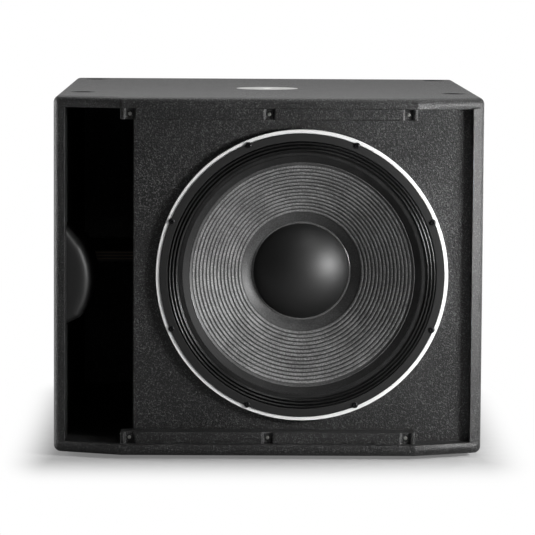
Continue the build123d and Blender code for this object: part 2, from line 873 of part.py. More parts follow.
with BuildPart() as level_knob:
    with BuildSketch(tray_floor.offset(control_gap)):
        with Locations(knob_spot):
            RegularPolygon(knob_radius, knob_sides)
    extrude(amount=knob_length)
    with BuildSketch(tray_floor.offset(control_gap)):
        with Locations(knob_spot):
            RegularPolygon(knob_shaft_radius, jack_sides)
    extrude(amount=body_wall - amp_sheet - pot_depth)
level_knob.part.label = "level_knob"
export_step(level_knob.part, "parts/level_knob.step")

switch_depth = body_wall + 2 * button_travel + button_size
with BuildPart() as polarity_switch:
    with BuildSketch(tray_back):
        with Locations(button_spot):
            Rectangle(button_size + 2 * body_wall, button_size + 2 * body_wall)
    extrude(amount=-switch_depth)
    with BuildSketch(tray_back):
        with Locations(button_spot):
            Rectangle(button_size + 2 * control_gap, button_size + 2 * control_gap)
    extrude(amount=body_wall - switch_depth, mode=Mode.SUBTRACT)
polarity_switch.part.label = "polarity_switch"
export_step(polarity_switch.part, "parts/polarity_switch.step")

with BuildPart() as polarity_button:
    with BuildSketch(tray_floor.offset(button_proud)):
        with Locations(button_spot):
            Rectangle(button_size, button_size)
    extrude(amount=-button_proud - amp_sheet - switch_depth + body_wall + button_travel + control_gap)
polarity_button.part.label = "polarity_button"
export_step(polarity_button.part, "parts/polarity_button.step")

with BuildPart() as status_leds:
    with BuildSketch(tray_floor):
        with Locations(led_spot):
            with GridLocations(0, led_pitch, 1, led_count):
                Rectangle(led_size, led_size)
    extrude(amount=led_height)
status_leds.part.label = "status_leds"
export_step(status_leds.part, "parts/status_leds.step")

rocker_reach = sqrt(rocker_half**2 + rocker_rise**2) + control_gap
switch_face = Plane(tray_floor * Location((*switch_spot, switch_plate)))
with BuildPart() as power_switch:
    with BuildSketch(switch_face):
        Rectangle(switch_width, switch_height)
    extrude(amount=-switch_plate)
    with BuildSketch(switch_face):
        Rectangle(*switch_body)
    extrude(amount=-rocker_reach - body_wall)
    with BuildSketch(switch_face):
        Rectangle(rocker_width + 2 * control_gap, 2 * rocker_reach)
    extrude(amount=-rocker_reach, mode=Mode.SUBTRACT)
power_switch.part.label = "power_switch"
export_step(power_switch.part, "parts/power_switch.step")

# The rocker's section: x out of the panel, y up, tipped half its throw with the lower end pressed
rocker_plane = Plane(origin=switch_face.origin, x_dir=switch_face.z_dir, z_dir=-switch_face.x_dir)
with BuildPart() as power_rocker:
    with BuildSketch(Plane(rocker_plane * Rotation(0, 0, -rocker_throw / 2))):
        with BuildLine():
            Polyline(
                (rocker_rise, rocker_half),
                (rocker_dip, 0),
                (rocker_rise, -rocker_half),
                (-rocker_dip, -rocker_half),
                (-rocker_keel, 0),
                (-rocker_dip, rocker_half),
                close=True,
            )
        make_face()
    extrude(amount=rocker_width / 2, both=True)
power_rocker.part.label = "power_rocker"
export_step(power_rocker.part, "parts/power_rocker.step")

with BuildPart() as power_inlet:
    with BuildSketch(tray_floor):
        with Locations(inlet_spot):
            Rectangle(inlet_width, inlet_height)
    extrude(amount=inlet_plate)
    with BuildSketch(tray_floor):
        with Locations(inlet_spot):
            Rectangle(*inlet_body)
    extrude(amount=-inlet_depth)
    with BuildSketch(tray_floor.offset(inlet_plate)):
        with Locations(inlet_spot):
            Rectangle(inlet_body[0] - 2 * inlet_wall, inlet_body[1] - 2 * inlet_wall)
    extrude(amount=body_wall - inlet_plate - inlet_depth, mode=Mode.SUBTRACT)
    with BuildSketch(tray_floor.offset(body_wall - inlet_depth)):
        with Locations(inlet_spot):
            with GridLocations(blade_pitch, 0, 3, 1):
                Rectangle(*blade_size)
    extrude(amount=blade_length)
power_inlet.part.label = "power_inlet"
export_step(power_inlet.part, "parts/power_inlet.step")
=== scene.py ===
import json
import math
import bmesh
import bpy
import numpy as np
from mathutils import Matrix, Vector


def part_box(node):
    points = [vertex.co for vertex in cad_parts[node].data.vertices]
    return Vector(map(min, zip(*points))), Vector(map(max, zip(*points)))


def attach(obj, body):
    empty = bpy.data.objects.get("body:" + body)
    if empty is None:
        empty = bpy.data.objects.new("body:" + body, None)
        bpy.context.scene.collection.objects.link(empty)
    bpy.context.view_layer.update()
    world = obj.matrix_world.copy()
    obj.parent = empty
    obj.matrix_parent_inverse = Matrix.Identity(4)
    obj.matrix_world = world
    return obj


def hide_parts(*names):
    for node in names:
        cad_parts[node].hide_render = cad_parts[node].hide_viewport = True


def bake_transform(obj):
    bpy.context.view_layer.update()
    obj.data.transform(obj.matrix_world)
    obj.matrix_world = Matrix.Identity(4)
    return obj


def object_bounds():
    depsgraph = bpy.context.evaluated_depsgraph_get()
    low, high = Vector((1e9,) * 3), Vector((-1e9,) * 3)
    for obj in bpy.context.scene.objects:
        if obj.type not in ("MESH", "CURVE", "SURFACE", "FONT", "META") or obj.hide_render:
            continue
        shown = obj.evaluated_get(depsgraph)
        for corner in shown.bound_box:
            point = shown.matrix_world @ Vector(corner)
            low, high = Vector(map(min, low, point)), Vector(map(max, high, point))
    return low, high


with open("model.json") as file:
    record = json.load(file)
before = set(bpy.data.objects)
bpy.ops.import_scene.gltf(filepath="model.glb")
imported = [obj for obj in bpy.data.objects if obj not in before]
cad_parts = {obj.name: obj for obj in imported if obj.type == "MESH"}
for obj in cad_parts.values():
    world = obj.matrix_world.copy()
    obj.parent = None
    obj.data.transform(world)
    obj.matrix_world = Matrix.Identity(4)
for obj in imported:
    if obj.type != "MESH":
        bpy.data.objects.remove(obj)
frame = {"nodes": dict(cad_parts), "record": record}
boxAtStart = [list(corner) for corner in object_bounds()]
mm = 0.001
rearwards, forwards, upwards, downwards = (0, 1, 0), (0, -1, 0), (0, 0, 1), (0, 0, -1)
bodyOf = {node: body for body, nodes in frame["record"]["behaviour"]["bodies"].items() for node in nodes}


def boxMm(node):  # a node's lowest and highest corners in millimetres
    low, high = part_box(node)
    return np.array(low) / mm, np.array(high) / mm


def middleMm(node):
    return sum(boxMm(node)) / 2


# ---- materials

def linear(hexColour):  # sRGB hex to linear light
    channels = np.array([int(hexColour[i:i + 2], 16) for i in (1, 3, 5)]) / 255
    low = channels / 12.92
    high = ((channels + 0.055) / 1.055) ** 2.4
    return (*np.where(channels <= 0.04045, low, high).tolist(), 1.0)


def addNode(tree, kind, settings=None, inputs=None):
    # a socket among the inputs is linked, anything else is its value
    node = tree.nodes.new("ShaderNode" + kind)
    for name, value in (settings or {}).items():
        setattr(node, name, value)
    for name, value in (inputs or {}).items():
        if isinstance(value, bpy.types.NodeSocket):
            tree.links.new(value, node.inputs[name])
        else:
            node.inputs[name].default_value = value
    return node


def calc(tree, operation, *terms):  # what one Math node gives
    return addNode(tree, "Math", {"operation": operation}, dict(enumerate(terms))).outputs[0]


def remap(tree, value, low, high, first=0.0, last=1.0, **settings):  # low to high becomes first to last
    inputs = {"Value": value, "From Min": low, "From Max": high, "To Min": first, "To Max": last}
    return addNode(tree, "MapRange", settings, inputs).outputs[0]


def noise(tree, coords, grainMm, **inputs):
    inputs = {"Vector": coords, "Scale": 1 / (grainMm * mm), **inputs}
    return addNode(tree, "TexNoise", None, inputs).outputs["Fac"]


def newMaterial(name):
    material = bpy.data.materials.new(name)
    material.use_nodes = True
    tree = material.node_tree
    tree.nodes.clear()
    shader = addNode(tree, "BsdfPrincipled")
    addNode(tree, "OutputMaterial", None, {"Surface": shader.outputs[0]})
    return material, tree, shader, addNode(tree, "TexCoord").outputs["Object"]


def tint(tree, shader, factor, stops):  # colours the shader by a ramp; stops are {position: hex colour}
    node = addNode(tree, "ValToRGB", None, {"Fac": factor})
    elements = node.color_ramp.elements
    while len(elements) < len(stops):
        elements.new(1.0)
    for element, (position, colour) in zip(elements, stops.items()):
        element.position = position
        element.color = linear(colour)
    tree.links.new(node.outputs["Color"], shader.inputs["Base Color"])


def speckled(name, gritMm, toneMm, bump, bumpMm, roughness, stops, toneShare=0.3, **sockets):
    # grit is fine noise and tone is coarse noise; both shift the colour, and the grit raises the surface
    material, tree, shader, coords = newMaterial(name)
    shader.inputs["Base Color"].default_value = (0, 0, 0, 1)
    grit = noise(tree, coords, gritMm, Detail=3.0, Roughness=0.6)
    tone = noise(tree, coords, toneMm, Detail=4.0, Roughness=0.55)
    blend = addNode(tree, "Mix", {"data_type": "FLOAT"}, {0: toneShare, 2: grit, 3: tone}).outputs[0]
    tint(tree, shader, blend, stops)
    tree.links.new(remap(tree, blend, 0.3, 0.7, *roughness), shader.inputs["Roughness"])
    raised = addNode(tree, "Bump", None, {"Height": grit, "Strength": bump, "Distance": bumpMm * mm})
    tree.links.new(raised.outputs[0], shader.inputs["Normal"])
    for socket, value in sockets.items():
        shader.inputs[socket.replace("_", " ")].default_value = value
    return material


finishes = {
    # textured satin paint on plywood: rolled on, so it keeps a pebbled skin that glints at a low angle
    "texturedPaint": dict(gritMm=1.9, toneMm=90, toneShare=0.12, bump=1.0, bumpMm=0.9, roughness=(0.3, 0.58),
        stops={0.4: "#030303", 0.5: "#0d0d0d", 0.56: "#212121", 0.64: "#4c4c4c"}),
    # the same paint inside, rubbed thin and dusty, so it is duller
    "insidePaint": dict(gritMm=3.0, toneMm=120, toneShare=0.5, bump=0.4, bumpMm=0.4, roughness=(0.65, 0.8),
        stops={0.35: "#131413", 0.6: "#1c1c1a", 0.75: "#26261f"}),
    # machined cast aluminium: almost white, faint turning marks
    "machinedAluminium": dict(gritMm=0.6, toneMm=40, bump=0.1, bumpMm=0.05, roughness=(0.28, 0.38),
        stops={0.3: "#ececec", 0.7: "#f8f8f7"}, Metallic=0.15),
    # die-cast aluminium as cast, under black paint
    "castBlack": dict(gritMm=1.2, toneMm=60, bump=0.35, bumpMm=0.2, roughness=(0.45, 0.6),
        stops={0.3: "#141414", 0.7: "#202021"}),
    # foamed rubber: soft black, no shine
    "gasketFoam": dict(gritMm=0.8, toneMm=30, bump=0.5, bumpMm=0.25, roughness=(0.7, 0.85),
        stops={0.35: "#050505", 0.65: "#0b0b0b"}),
    # black oxide screws: deep black with an oily shine
    "blackOxide": dict(gritMm=0.5, toneMm=6, bump=0.1, bumpMm=0.03, roughness=(0.25, 0.4),
        stops={0.3: "#101011", 0.7: "#1c1c1e"}, Metallic=0.6),
    # doped cotton: tarry coating over the weave, satin
    "dopedCloth": dict(gritMm=0.7, toneMm=25, bump=0.35, bumpMm=0.15, roughness=(0.26, 0.36),
        stops={0.35: "#050505", 0.65: "#0c0c0c"}),
    # damping compound brushed round the cone's edge: dark grey and matt
    "dampedEdge": dict(gritMm=1.8, toneMm=25, bump=0.3, bumpMm=0.2, roughness=(0.55, 0.7),
        stops={0.36: "#0c0c0c", 0.5: "#161616", 0.64: "#242424"}, Specular_IOR_Level=0.25),
    # coated paper pulp: felted fibres under a thin dark coat, soft sheen
    "coatedPulpPaintedShade": dict(gritMm=1.8, toneMm=35, toneShare=0.25, bump=0.4, bumpMm=0.25, roughness=(0.42, 0.55),
        stops={0.38: "#424242", 0.5: "#626262", 0.62: "#868686"}),
    # the cap is the same pulp, coated thicker and smoother
    "capPulp": dict(gritMm=1.8, toneMm=30, bump=0.6, bumpMm=0.22, roughness=(0.5, 0.56),
        stops={0.35: "#030303", 0.7: "#070707"}, Specular_IOR_Level=0.7),
    # dried contact glue: a grey bead with a wet-looking skin
    "glueBead": dict(gritMm=2.0, toneMm=18, bump=0.1, bumpMm=0.1, roughness=(0.2, 0.28),
        stops={0.35: "#3a3a3a", 0.65: "#565656"}),
    # zinc plated steel: grey with a cool cast
    "zincSteel": dict(gritMm=1.5, toneMm=20, bump=0.15, bumpMm=0.05, roughness=(0.3, 0.45),
        stops={0.3: "#9a9b98", 0.7: "#c2c3bf"}, Metallic=1.0),
    # satin steel plate: bright, brushed
    "satinSteel": dict(gritMm=0.7, toneMm=30, bump=0.12, bumpMm=0.04, roughness=(0.38, 0.5),
        stops={0.3: "#b6b6b4", 0.7: "#cfcfcd"}, Metallic=0.85),
    # sintered ferrite: dull charcoal
    "ferrite": dict(gritMm=1.0, toneMm=25, bump=0.3, bumpMm=0.2, roughness=(0.6, 0.75),
        stops={0.3: "#2b2b2d", 0.7: "#3b3b3e"}),
    # injection moulded ABS with a spark-eroded texture
    "mouldedBlack": dict(gritMm=0.9, toneMm=50, bump=0.3, bumpMm=0.15, roughness=(0.45, 0.55),
        stops={0.35: "#0c0c0c", 0.65: "#151515"}),
    # glossy ABS buttons
    "glossBlack": dict(gritMm=2.0, toneMm=20, bump=0.03, bumpMm=0.03, roughness=(0.15, 0.22),
        stops={0.3: "#0f0f10", 0.7: "#171718"}),
    # nitrile rubber: matt and slightly grey
    "rubber": dict(gritMm=1.4, toneMm=30, bump=0.3, bumpMm=0.15, roughness=(0.6, 0.75),
        stops={0.35: "#131313", 0.65: "#1f1f1f"}),
    # powder coated steel sheet: fine orange peel
    "powderCoat": dict(gritMm=2.2, toneMm=80, bump=0.25, bumpMm=0.15, roughness=(0.4, 0.5),
        stops={0.35: "#171718", 0.65: "#222224"}),
    # black anodised extrusion: slight metallic sheen
    "anodisedBlack": dict(gritMm=0.8, toneMm=60, bump=0.1, bumpMm=0.05, roughness=(0.38, 0.5),
        stops={0.35: "#151517", 0.65: "#1f1f22"}, Metallic=0.5),
    # solder mask over glass fibre
    "solderMask": dict(gritMm=2.0, toneMm=30, bump=0.05, bumpMm=0.05, roughness=(0.3, 0.4),
        stops={0.3: "#123a22", 0.7: "#1c4a2c"}),
    # nickel plated zinc tabs
    "nickel": dict(gritMm=0.8, toneMm=8, bump=0.08, bumpMm=0.03, roughness=(0.22, 0.3),
        stops={0.3: "#b4b2ab", 0.7: "#cfcdc6"}, Metallic=1.0),
    # white screen print
    "printWhite": dict(gritMm=0.6, toneMm=10, bump=0.1, bumpMm=0.03, roughness=(0.5, 0.6),
        stops={0.3: "#d6d6d2", 0.7: "#e6e6e2"}),
    # copper wire under varnish
    "copperWire": dict(gritMm=0.5, toneMm=8, bump=0.2, bumpMm=0.1, roughness=(0.3, 0.4),
        stops={0.3: "#8a4f2c", 0.7: "#b06a3c"}, Metallic=1.0),
}
paints = {name: speckled(name, **spec) for name, spec in finishes.items()}


def lampLens(name, deep, pale):  # tinted polycarbonate lens over an unlit lamp
    material, tree, shader, coords = newMaterial(name)
    tint(tree, shader, noise(tree, coords, 1.5), {0.3: deep, 0.7: pale})
    shader.inputs["Roughness"].default_value = 0.18
    return material


def plyEdge(veneerPair=2.6 * mm, waver=0.6 * mm):
    # birch ply sawn across: veneers pale and brown by turns, under a thin dark wash
    material, tree, shader, coords = newMaterial("plyEdge")
    height = addNode(tree, "SeparateXYZ", None, {0: coords}).outputs["Z"]
    wavering = calc(tree, "MULTIPLY_ADD", noise(tree, coords, 25), waver, height)
    share = calc(tree, "DIVIDE", calc(tree, "PINGPONG", wavering, veneerPair), veneerPair)
    tint(tree, shader, share, {0.3: "#1a1712", 0.62: "#2c2620", 0.8: "#5a4c3c"})
    shader.inputs["Roughness"].default_value = 0.7
    return material


paints["plyEdge"] = plyEdge()
lenses = [lampLens("lampGreen", "#1f6a2e", "#3aa04a"), lampLens("lampAmber", "#8a5a10", "#c88a20"),
          lampLens("lampRed", "#7a1a16", "#b02c24")]
print("materials made")


# ---- surfaces

def gridSurface(points, closeRows=False, closeColumns=False):  # quads between neighbours of a grid of points
    rows, columns = points.shape[:2]
    i = np.arange(rows if closeRows else rows - 1)[:, None]
    j = np.arange(columns if closeColumns else columns - 1)[None, :]
    below, beside = (i + 1) % rows, (j + 1) % columns
    corners = [i * columns + j, i * columns + beside, below * columns + beside, below * columns + j]
    return points.reshape(-1, 3), np.stack(np.broadcast_arrays(*corners), -1).reshape(-1, 4).tolist()


def sideways(out):  # two unit vectors square to out, the first level where it can be
    out = np.array(out, float)
    side = np.array([1.0, 0, 0]) if abs(out[0]) < 0.9 else np.array([0, 1.0, 0])
    up = np.cross(side, out) if out[1] > 0.5 else np.cross(out, side)
    return side, up


# screw heads in millimetres: radius, height, reach of the recess, and its arms
heads = dict(batten=(2.9, 1.5, 1.2, 4), driver=(4.3, 2.5, 2.2, 6), handle=(3.6, 0.95, 1.9, 4),
             foot=(3.9, 1.8, 1.6, 4), amp=(3.4, 0.98, 1.7, 4), jack=(1.7, 0.8, 0.9, 4),
             inlet=(1.8, 0.8, 0.95, 4))


def crossed(angle):  # the outline of a cross recess, as a share of its reach
    return 0.42 + 0.75 * np.abs(np.cos(2 * angle)) ** 3


def screwHead(place, out, radius, height, socket, arms):
    # a domed head whose recess has arms, four for a cross and six for a hexagon key
    dome = [(radius * np.cos(0.9 * r * np.pi / 2) ** 0.5 if r < 1 else socket * 1.25,
             height * (0.45 + 0.55 * np.sin(r * np.pi / 2))) for r in (0.25, 0.5, 0.75, 1)]
    rows = [(0, 0), (radius, 0), (radius, height * 0.45), *dome,
            (socket, height * 0.98), (socket * 0.9, height * 0.35), (0, height * 0.25)]

    def recess(reach, angle):
        hexagon = np.cos(np.pi / arms) / np.cos((angle % (2 * np.pi / arms)) - np.pi / arms)
        return np.where(reach <= socket, reach * (crossed(angle) if arms == 4 else hexagon), reach)

    return turned(rows, place, out, 24, False, recess)


def addScrews(name, kind, places, out, material, **finish):
    return addPiece(name, [screwHead(place, out, *heads[kind]) for place in places], material, **finish)


def turned(profile, centre, out, steps=96, closed=False, reach=None):
    # centre + height * out + radius * (side cos a + up sin a), for each (radius, height) row and angle a;
    # steps is a count or a list of angles, and reach(radius, angle) may change the radius from place to place
    profile = np.array(profile, float)
    side, up = sideways(out)
    angle = 2 * np.pi * np.arange(steps) / steps if np.isscalar(steps) else steps
    radius = np.repeat(profile[:, :1], len(angle), 1)
    if reach is not None:
        radius = reach(radius, angle[None, :])
    ring = np.cos(angle)[:, None] * side + np.sin(angle)[:, None] * up
    centre, out = np.array(centre, float), np.array(out, float)
    points = centre + profile[:, 1, None, None] * out + radius[..., None] * ring[None]
    return gridSurface(points, closed, True)


def softened(corners, cuts, steps=4, closed=False):
    # each corner becomes a parabola that starts and ends a cut's length away along its two sides
    corners = np.array(corners, float)
    cuts = np.broadcast_to(np.array(cuts, float), len(corners)).copy()
    before, after = np.roll(corners, 1, 0), np.roll(corners, -1, 0)
    if not closed:
        cuts[[0, -1]] = 0
    toBefore, toAfter = before - corners, after - corners
    toBefore /= np.linalg.norm(toBefore, axis=1, keepdims=True) + 1e-12
    toAfter /= np.linalg.norm(toAfter, axis=1, keepdims=True) + 1e-12
    s = np.linspace(0, 1, steps)[None, :, None]
    start, end = corners + toBefore * cuts[:, None], corners + toAfter * cuts[:, None]
    curve = (1 - s) ** 2 * start[:, None] + 2 * s * (1 - s) * corners[:, None] + s ** 2 * end[:, None]
    points = curve.reshape(-1, 2)
    keep = np.r_[True, np.linalg.norm(np.diff(points, axis=0), axis=1) > 1e-6]
    return points[keep]


def roundedRing(corners, radius, inset=0.0, steps=6):
    # a polygon drawn in by inset; its corners are arcs about fixed centres, so every inset has as many points
    corners = np.array(corners, float)
    radius = np.broadcast_to(np.array(radius, float), len(corners))[:, None]
    ahead = np.roll(corners, -1, 0) - corners
    ahead /= np.linalg.norm(ahead, axis=1, keepdims=True)
    outAfter = np.column_stack([ahead[:, 1], -ahead[:, 0]])
    outBefore = np.roll(outAfter, 1, 0)
    middle = (outBefore + outAfter) / (1 + (outBefore * outAfter).sum(1, keepdims=True))
    centres = corners - radius * middle
    first = np.arctan2(outBefore[:, 1], outBefore[:, 0])
    cross = outBefore[:, 0] * outAfter[:, 1] - outBefore[:, 1] * outAfter[:, 0]
    bend = np.arctan2(cross, (outBefore * outAfter).sum(1))
    angle = first[:, None] + bend[:, None] * np.linspace(0, 1, steps)[None]
    arc = np.stack([np.cos(angle), np.sin(angle)], -1)
    grown = np.where(radius > inset, radius - inset, 0.0)
    pulled = corners[:, None] - inset * middle[:, None]
    points = np.where((radius > inset)[..., None], centres[:, None] + grown[:, None] * arc, pulled)
    return points.reshape(-1, 2)


def rectangle(width, height, centre=(0, 0)):
    signs = ((-1, -1), (1, -1), (1, 1), (-1, 1))
    return [(centre[0] + sx * width / 2, centre[1] + sy * height / 2) for sx, sy in signs]


def slab(corners, radius, rows, place, holes=(), steps=6, back=()):
    # rounded rings stacked by (inset, height) rows, closed by flat ends; place turns (x, y, height) into
    # space, holes are loops of (x, y) that pierce the last end, and back holds those of the first end
    rings = [place(*roundedRing(corners, radius, inset, steps).T, height) for inset, height in rows]
    ends = [filled([ring] + [place(*gap.T, height) for gap in gaps])
            for ring, height, gaps in ((rings[0], rows[0][1], back), (rings[-1], rows[-1][1], holes))]
    return [gridSurface(np.array(rings), False, True), *ends]


def filled(loops):  # the flat area between closed loops of points, as triangles
    mesh = bmesh.new()
    for loop in loops:
        corners = [mesh.verts.new(point) for point in np.array(loop).tolist()]
        for a, b in zip(corners, corners[1:] + corners[:1]):
            mesh.edges.new((a, b))
    bmesh.ops.triangle_fill(mesh, use_beauty=True, edges=mesh.edges[:])
    mesh.verts.index_update()
    points = np.array([vertex.co[:] for vertex in mesh.verts])
    faces = [[vertex.index for vertex in face.verts] for face in mesh.faces]
    mesh.free()
    return points, faces


def circleLoop(centre, out, radius, steps=96):
    side, up = sideways(out)
    angle = 2 * np.pi * np.arange(steps)[:, None] / steps
    return np.array(centre, float) + radius * (np.cos(angle) * side + np.sin(angle) * up)


def addPiece(name, surfaces, material, body="cabinet", **finish):  # joins the surfaces into one mesh
    points, faces, base = [], [], 0
    for surface, polygons in surfaces:
        points.append(surface)
        faces += [[index + base for index in polygon] for polygon in polygons]
        base += len(surface)
    mesh = bpy.data.meshes.new(name)
    mesh.from_pydata((np.concatenate(points) * mm).tolist(), [], faces)
    return finishPiece(name, mesh, material, body, **finish)


weld = 0.002 * mm  # points nearer than this are one


def finishPiece(name, mesh, material, body, replaces=(), sharp=32, slot=None, ease=0.0, limit="ANGLE",
                smoothed=True):
    # common edges are merged and faces turned outwards; ease rounds the edges, and sharp is in degrees
    work = bmesh.new()
    work.from_mesh(mesh)
    bmesh.ops.remove_doubles(work, verts=work.verts[:], dist=weld)
    bmesh.ops.dissolve_degenerate(work, edges=work.edges[:], dist=weld)
    bmesh.ops.recalc_face_normals(work, faces=work.faces[:])
    work.to_mesh(mesh)
    work.free()
    mesh.materials.clear()
    mesh.materials.append(paints[material] if isinstance(material, str) else material)
    mesh.shade_smooth()
    mesh.set_sharp_from_angle(angle=math.radians(sharp))
    piece = bpy.data.objects.new(name, mesh)
    bpy.context.scene.collection.objects.link(piece)
    if ease:
        edge = piece.modifiers.new("edge", "BEVEL")
        edge.width = ease * mm
        edge.segments = 2
        edge.limit_method = limit
        edge.angle_limit = math.radians(35)
    if smoothed:  # large flat faces keep their own direction, and the rounds beside them take up the change
        normals = piece.modifiers.new("normals", "WEIGHTED_NORMAL")
        normals.keep_sharp = True
        normals.weight = 75
    if body:
        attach(piece, body)
    if replaces:
        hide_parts(*replaces)
    return piece


def dressed(node, material, ease=0.5, keep=(), shift=None):
    # a merged copy of a CAD node, its flat areas made whole, with eased edges;
    # edges that lie in a plane listed in keep, as (axis, millimetres), stay as they are
    mesh = frame["nodes"][node].data.copy()
    mesh.name = node + "_finished"
    if shift:
        points = np.empty(3 * len(mesh.vertices))
        mesh.vertices.foreach_get("co", points)
        mesh.vertices.foreach_set("co", (shift(points.reshape(-1, 3) / mm) * mm).ravel())
    work = bmesh.new()
    work.from_mesh(mesh)
    bmesh.ops.remove_doubles(work, verts=work.verts[:], dist=weld)
    bmesh.ops.dissolve_limit(work, angle_limit=math.radians(0.4), verts=work.verts[:], edges=work.edges[:])
    weight = work.edges.layers.float.new("bevel_weight_edge")
    for edge in work.edges:
        ends = [vertex.co for vertex in edge.verts]
        kept = any(all(abs(end[axis] - value * mm) < 0.05 * mm for end in ends) for axis, value in keep)
        if len(edge.link_faces) == 2 and edge.calc_face_angle(0) > math.radians(30) and not kept:
            edge[weight] = 1.0
    work.to_mesh(mesh)
    work.free()
    return finishPiece(mesh.name, mesh, material, bodyOf[node], replaces=[node], ease=ease, limit="WEIGHT")


# ---- plywood cabinet

cabinet = dict(straightFront=462, sweep=40, corner=12, edge=11, lowerEdge=1.6, panelEdge=0.8, baffleEdge=2.0,
               battenEdge=1.3, dishRadius=19.7, dishDepth=5.0, dishEdge=1.4, dishFloorEdge=1.6,
               recess=3.0, recessGap=0.3, recessEdge=0.6, bossRadius=15.3)
(leftX, frontY, floorZ), (sideX, rearY, _) = np.array(boxAtStart) / mm
baffleLow, baffleHigh = boxMm("front_baffle")
topLow, topHigh = boxMm("top_panel")
bottomLow, bottomHigh = boxMm("bottom_panel")
rearLow, rearHigh = boxMm("rear_panel")
poleHigh, poleCentre = boxMm("pole_socket")[1], middleMm("pole_socket")
feet = {name: middleMm(name) for name in bodyOf if name.endswith("_foot")}
half, sweptY = cabinet["straightFront"] / 2, frontY + cabinet["sweep"]
planCorners = [(-half, frontY), (half, frontY), (sideX, sweptY), (sideX, rearY), (leftX, rearY),
               (leftX, sweptY)]


def planRing(inset, height):  # the plan's outline, drawn in by inset at that height
    ring = roundedRing(planCorners, cabinet["corner"], inset, 8)
    return np.column_stack([ring, np.full(len(ring), height)])


def panelRings(flat, outer, up):
    # from the flat inner face round the long quarter round, down the side and round the small lower edge,
    # which only the overhanging front has
    edge, low = cabinet["edge"], cabinet["lowerEdge"]
    turn = np.linspace(np.pi / 2, 0, 9)
    rings = [planRing(edge * (1 - np.cos(a)), outer - up * edge * (1 - np.sin(a))) for a in turn]
    ring = planRing(0, flat)
    ahead = np.clip((sweptY - 6 - ring[:, 1]) / 4, 0, 1)[:, None]
    for a in np.linspace(0, np.pi / 2, 5):
        drawn = planRing(low * (1 - np.cos(a)), flat + up * low * (1 - np.sin(a)))
        rings.append(ring * (1 - ahead) + drawn * ahead)
    return np.array(rings)


topRings = panelRings(topLow[2], topHigh[2], 1)
dishKeys = ("dishRadius", "dishDepth", "dishEdge", "dishFloorEdge")
radius, depth, edge, floorEdge = (cabinet[key] for key in dishKeys)
dishRows = softened([(radius + edge, 0), (radius, 0), (radius, -depth), (0, -depth)],
                    [0, edge, floorEdge, 0], 6)
dishSpots = [(x, y, topHigh[2]) for x, y, z in feet.values()]
plateRadius, plateEdge = poleHigh[0] + cabinet["recessGap"], cabinet["recessEdge"]
poleMouth, poleExit = (poleCentre[0], poleCentre[1], topHigh[2]), (poleCentre[0], poleCentre[1], topLow[2])
recessRows = softened([(plateRadius + plateEdge, 0), (plateRadius, 0), (plateRadius, -cabinet["recess"]),
                       (cabinet["bossRadius"], -cabinet["recess"]),
                       (cabinet["bossRadius"], topLow[2] - topHigh[2])],
                      [0, plateEdge, 0.3, 0.3, 0], 4)
topLoops = [topRings[0], circleLoop(poleMouth, upwards, plateRadius + plateEdge, 128),
            *(circleLoop(spot, upwards, radius + edge, 64) for spot in dishSpots)]
addPiece("top_panel_finished",
         [gridSurface(topRings, False, True), filled(topLoops),
          filled([topRings[-1], circleLoop(poleExit, upwards, cabinet["bossRadius"], 128)]),
          turned(recessRows, poleMouth, upwards, 128),
          *(turned(dishRows, spot, upwards, 64) for spot in dishSpots)],
         "texturedPaint", replaces=["top_panel"])
bottomRings = panelRings(bottomHigh[2], bottomLow[2], -1)
addPiece("bottom_panel_finished",
         [gridSurface(bottomRings, False, True), filled([bottomRings[0]]), filled([bottomRings[-1]])],
         "texturedPaint", replaces=["bottom_panel"])
flush = [(2, topLow[2]), (2, bottomHigh[2]), (1, rearHigh[1])]  # joints that the paint hides stay unbroken
rearEnds = [(0, rearLow[0]), (0, rearHigh[0])]
for node, more in (("left_side_panel", []), ("right_side_panel", []), ("rear_panel", rearEnds)):
    dressed(node, "texturedPaint", cabinet["panelEdge"], keep=flush + more)
dressed("front_baffle", "texturedPaint", cabinet["baffleEdge"], keep=flush + [(0, baffleHigh[0])])
dressed("port_wall", "insidePaint", 1.2, keep=flush)
dressed("port_brace", "plyEdge", 0.4)
dressed("window_brace", "insidePaint", cabinet["panelEdge"], keep=flush)
for node in ("top_grille_batten", "bottom_grille_batten"):
    dressed(node, "texturedPaint", cabinet["battenEdge"], keep=flush)

# small steel screws that hold the battens, one in each notch
notches = dict(spacing=217.3, depth=6.0)
battens = [boxMm("top_grille_batten"), boxMm("bottom_grille_batten")]
notchFloor = battens[0][0][1] + notches["depth"]
battenSpots = [(x, notchFloor, (low[2] + high[2]) / 2)
               for x in (-notches["spacing"], 0, notches["spacing"]) for low, high in battens]
addScrews("batten_screws", "batten", battenSpots, forwards, "zincSteel", slot="bright_steel")

# threaded inserts for casters: a flange inside, a seal that lets no air out, and a flush rim outside
inserts = dict(radius=3.4, flange=8.6, thick=1.4, spacing=63.0, fromSide=29.5, low=49.5, high=57.5, rim=6.2,
               sunk=0.4)
insertSpots = []
for x in (leftX + inserts["fromSide"], sideX - inserts["fromSide"]):
    for z, step in ((bottomLow[2] + inserts["low"], 1), (topHigh[2] - inserts["high"], -1)):
        insertSpots += [(x, z), (x, z + inserts["spacing"] * step)]
inner, outer, thick, sealed = inserts["radius"], inserts["flange"], inserts["thick"], inserts["radius"] + 0.3
flangeRows = softened([(inner, 0), (outer, 0), (outer, thick), (inner, thick)], [0.2, 0.5, 0.3, 0.5], 3, True)
sealRows = [(0, 0.1), (sealed, 0.1), (sealed, 0.6), (0, 0.6)]
rimRows = [(inner, -0.2), (inner, 0.35), (inserts["rim"], 0.35), (inserts["rim"] + 0.2, 0.0)]
insertParts = [(flangeRows, rearLow[1], forwards, True), (sealRows, rearLow[1], forwards, False),
               (rimRows, rearHigh[1] - inserts["sunk"], rearwards, True)]
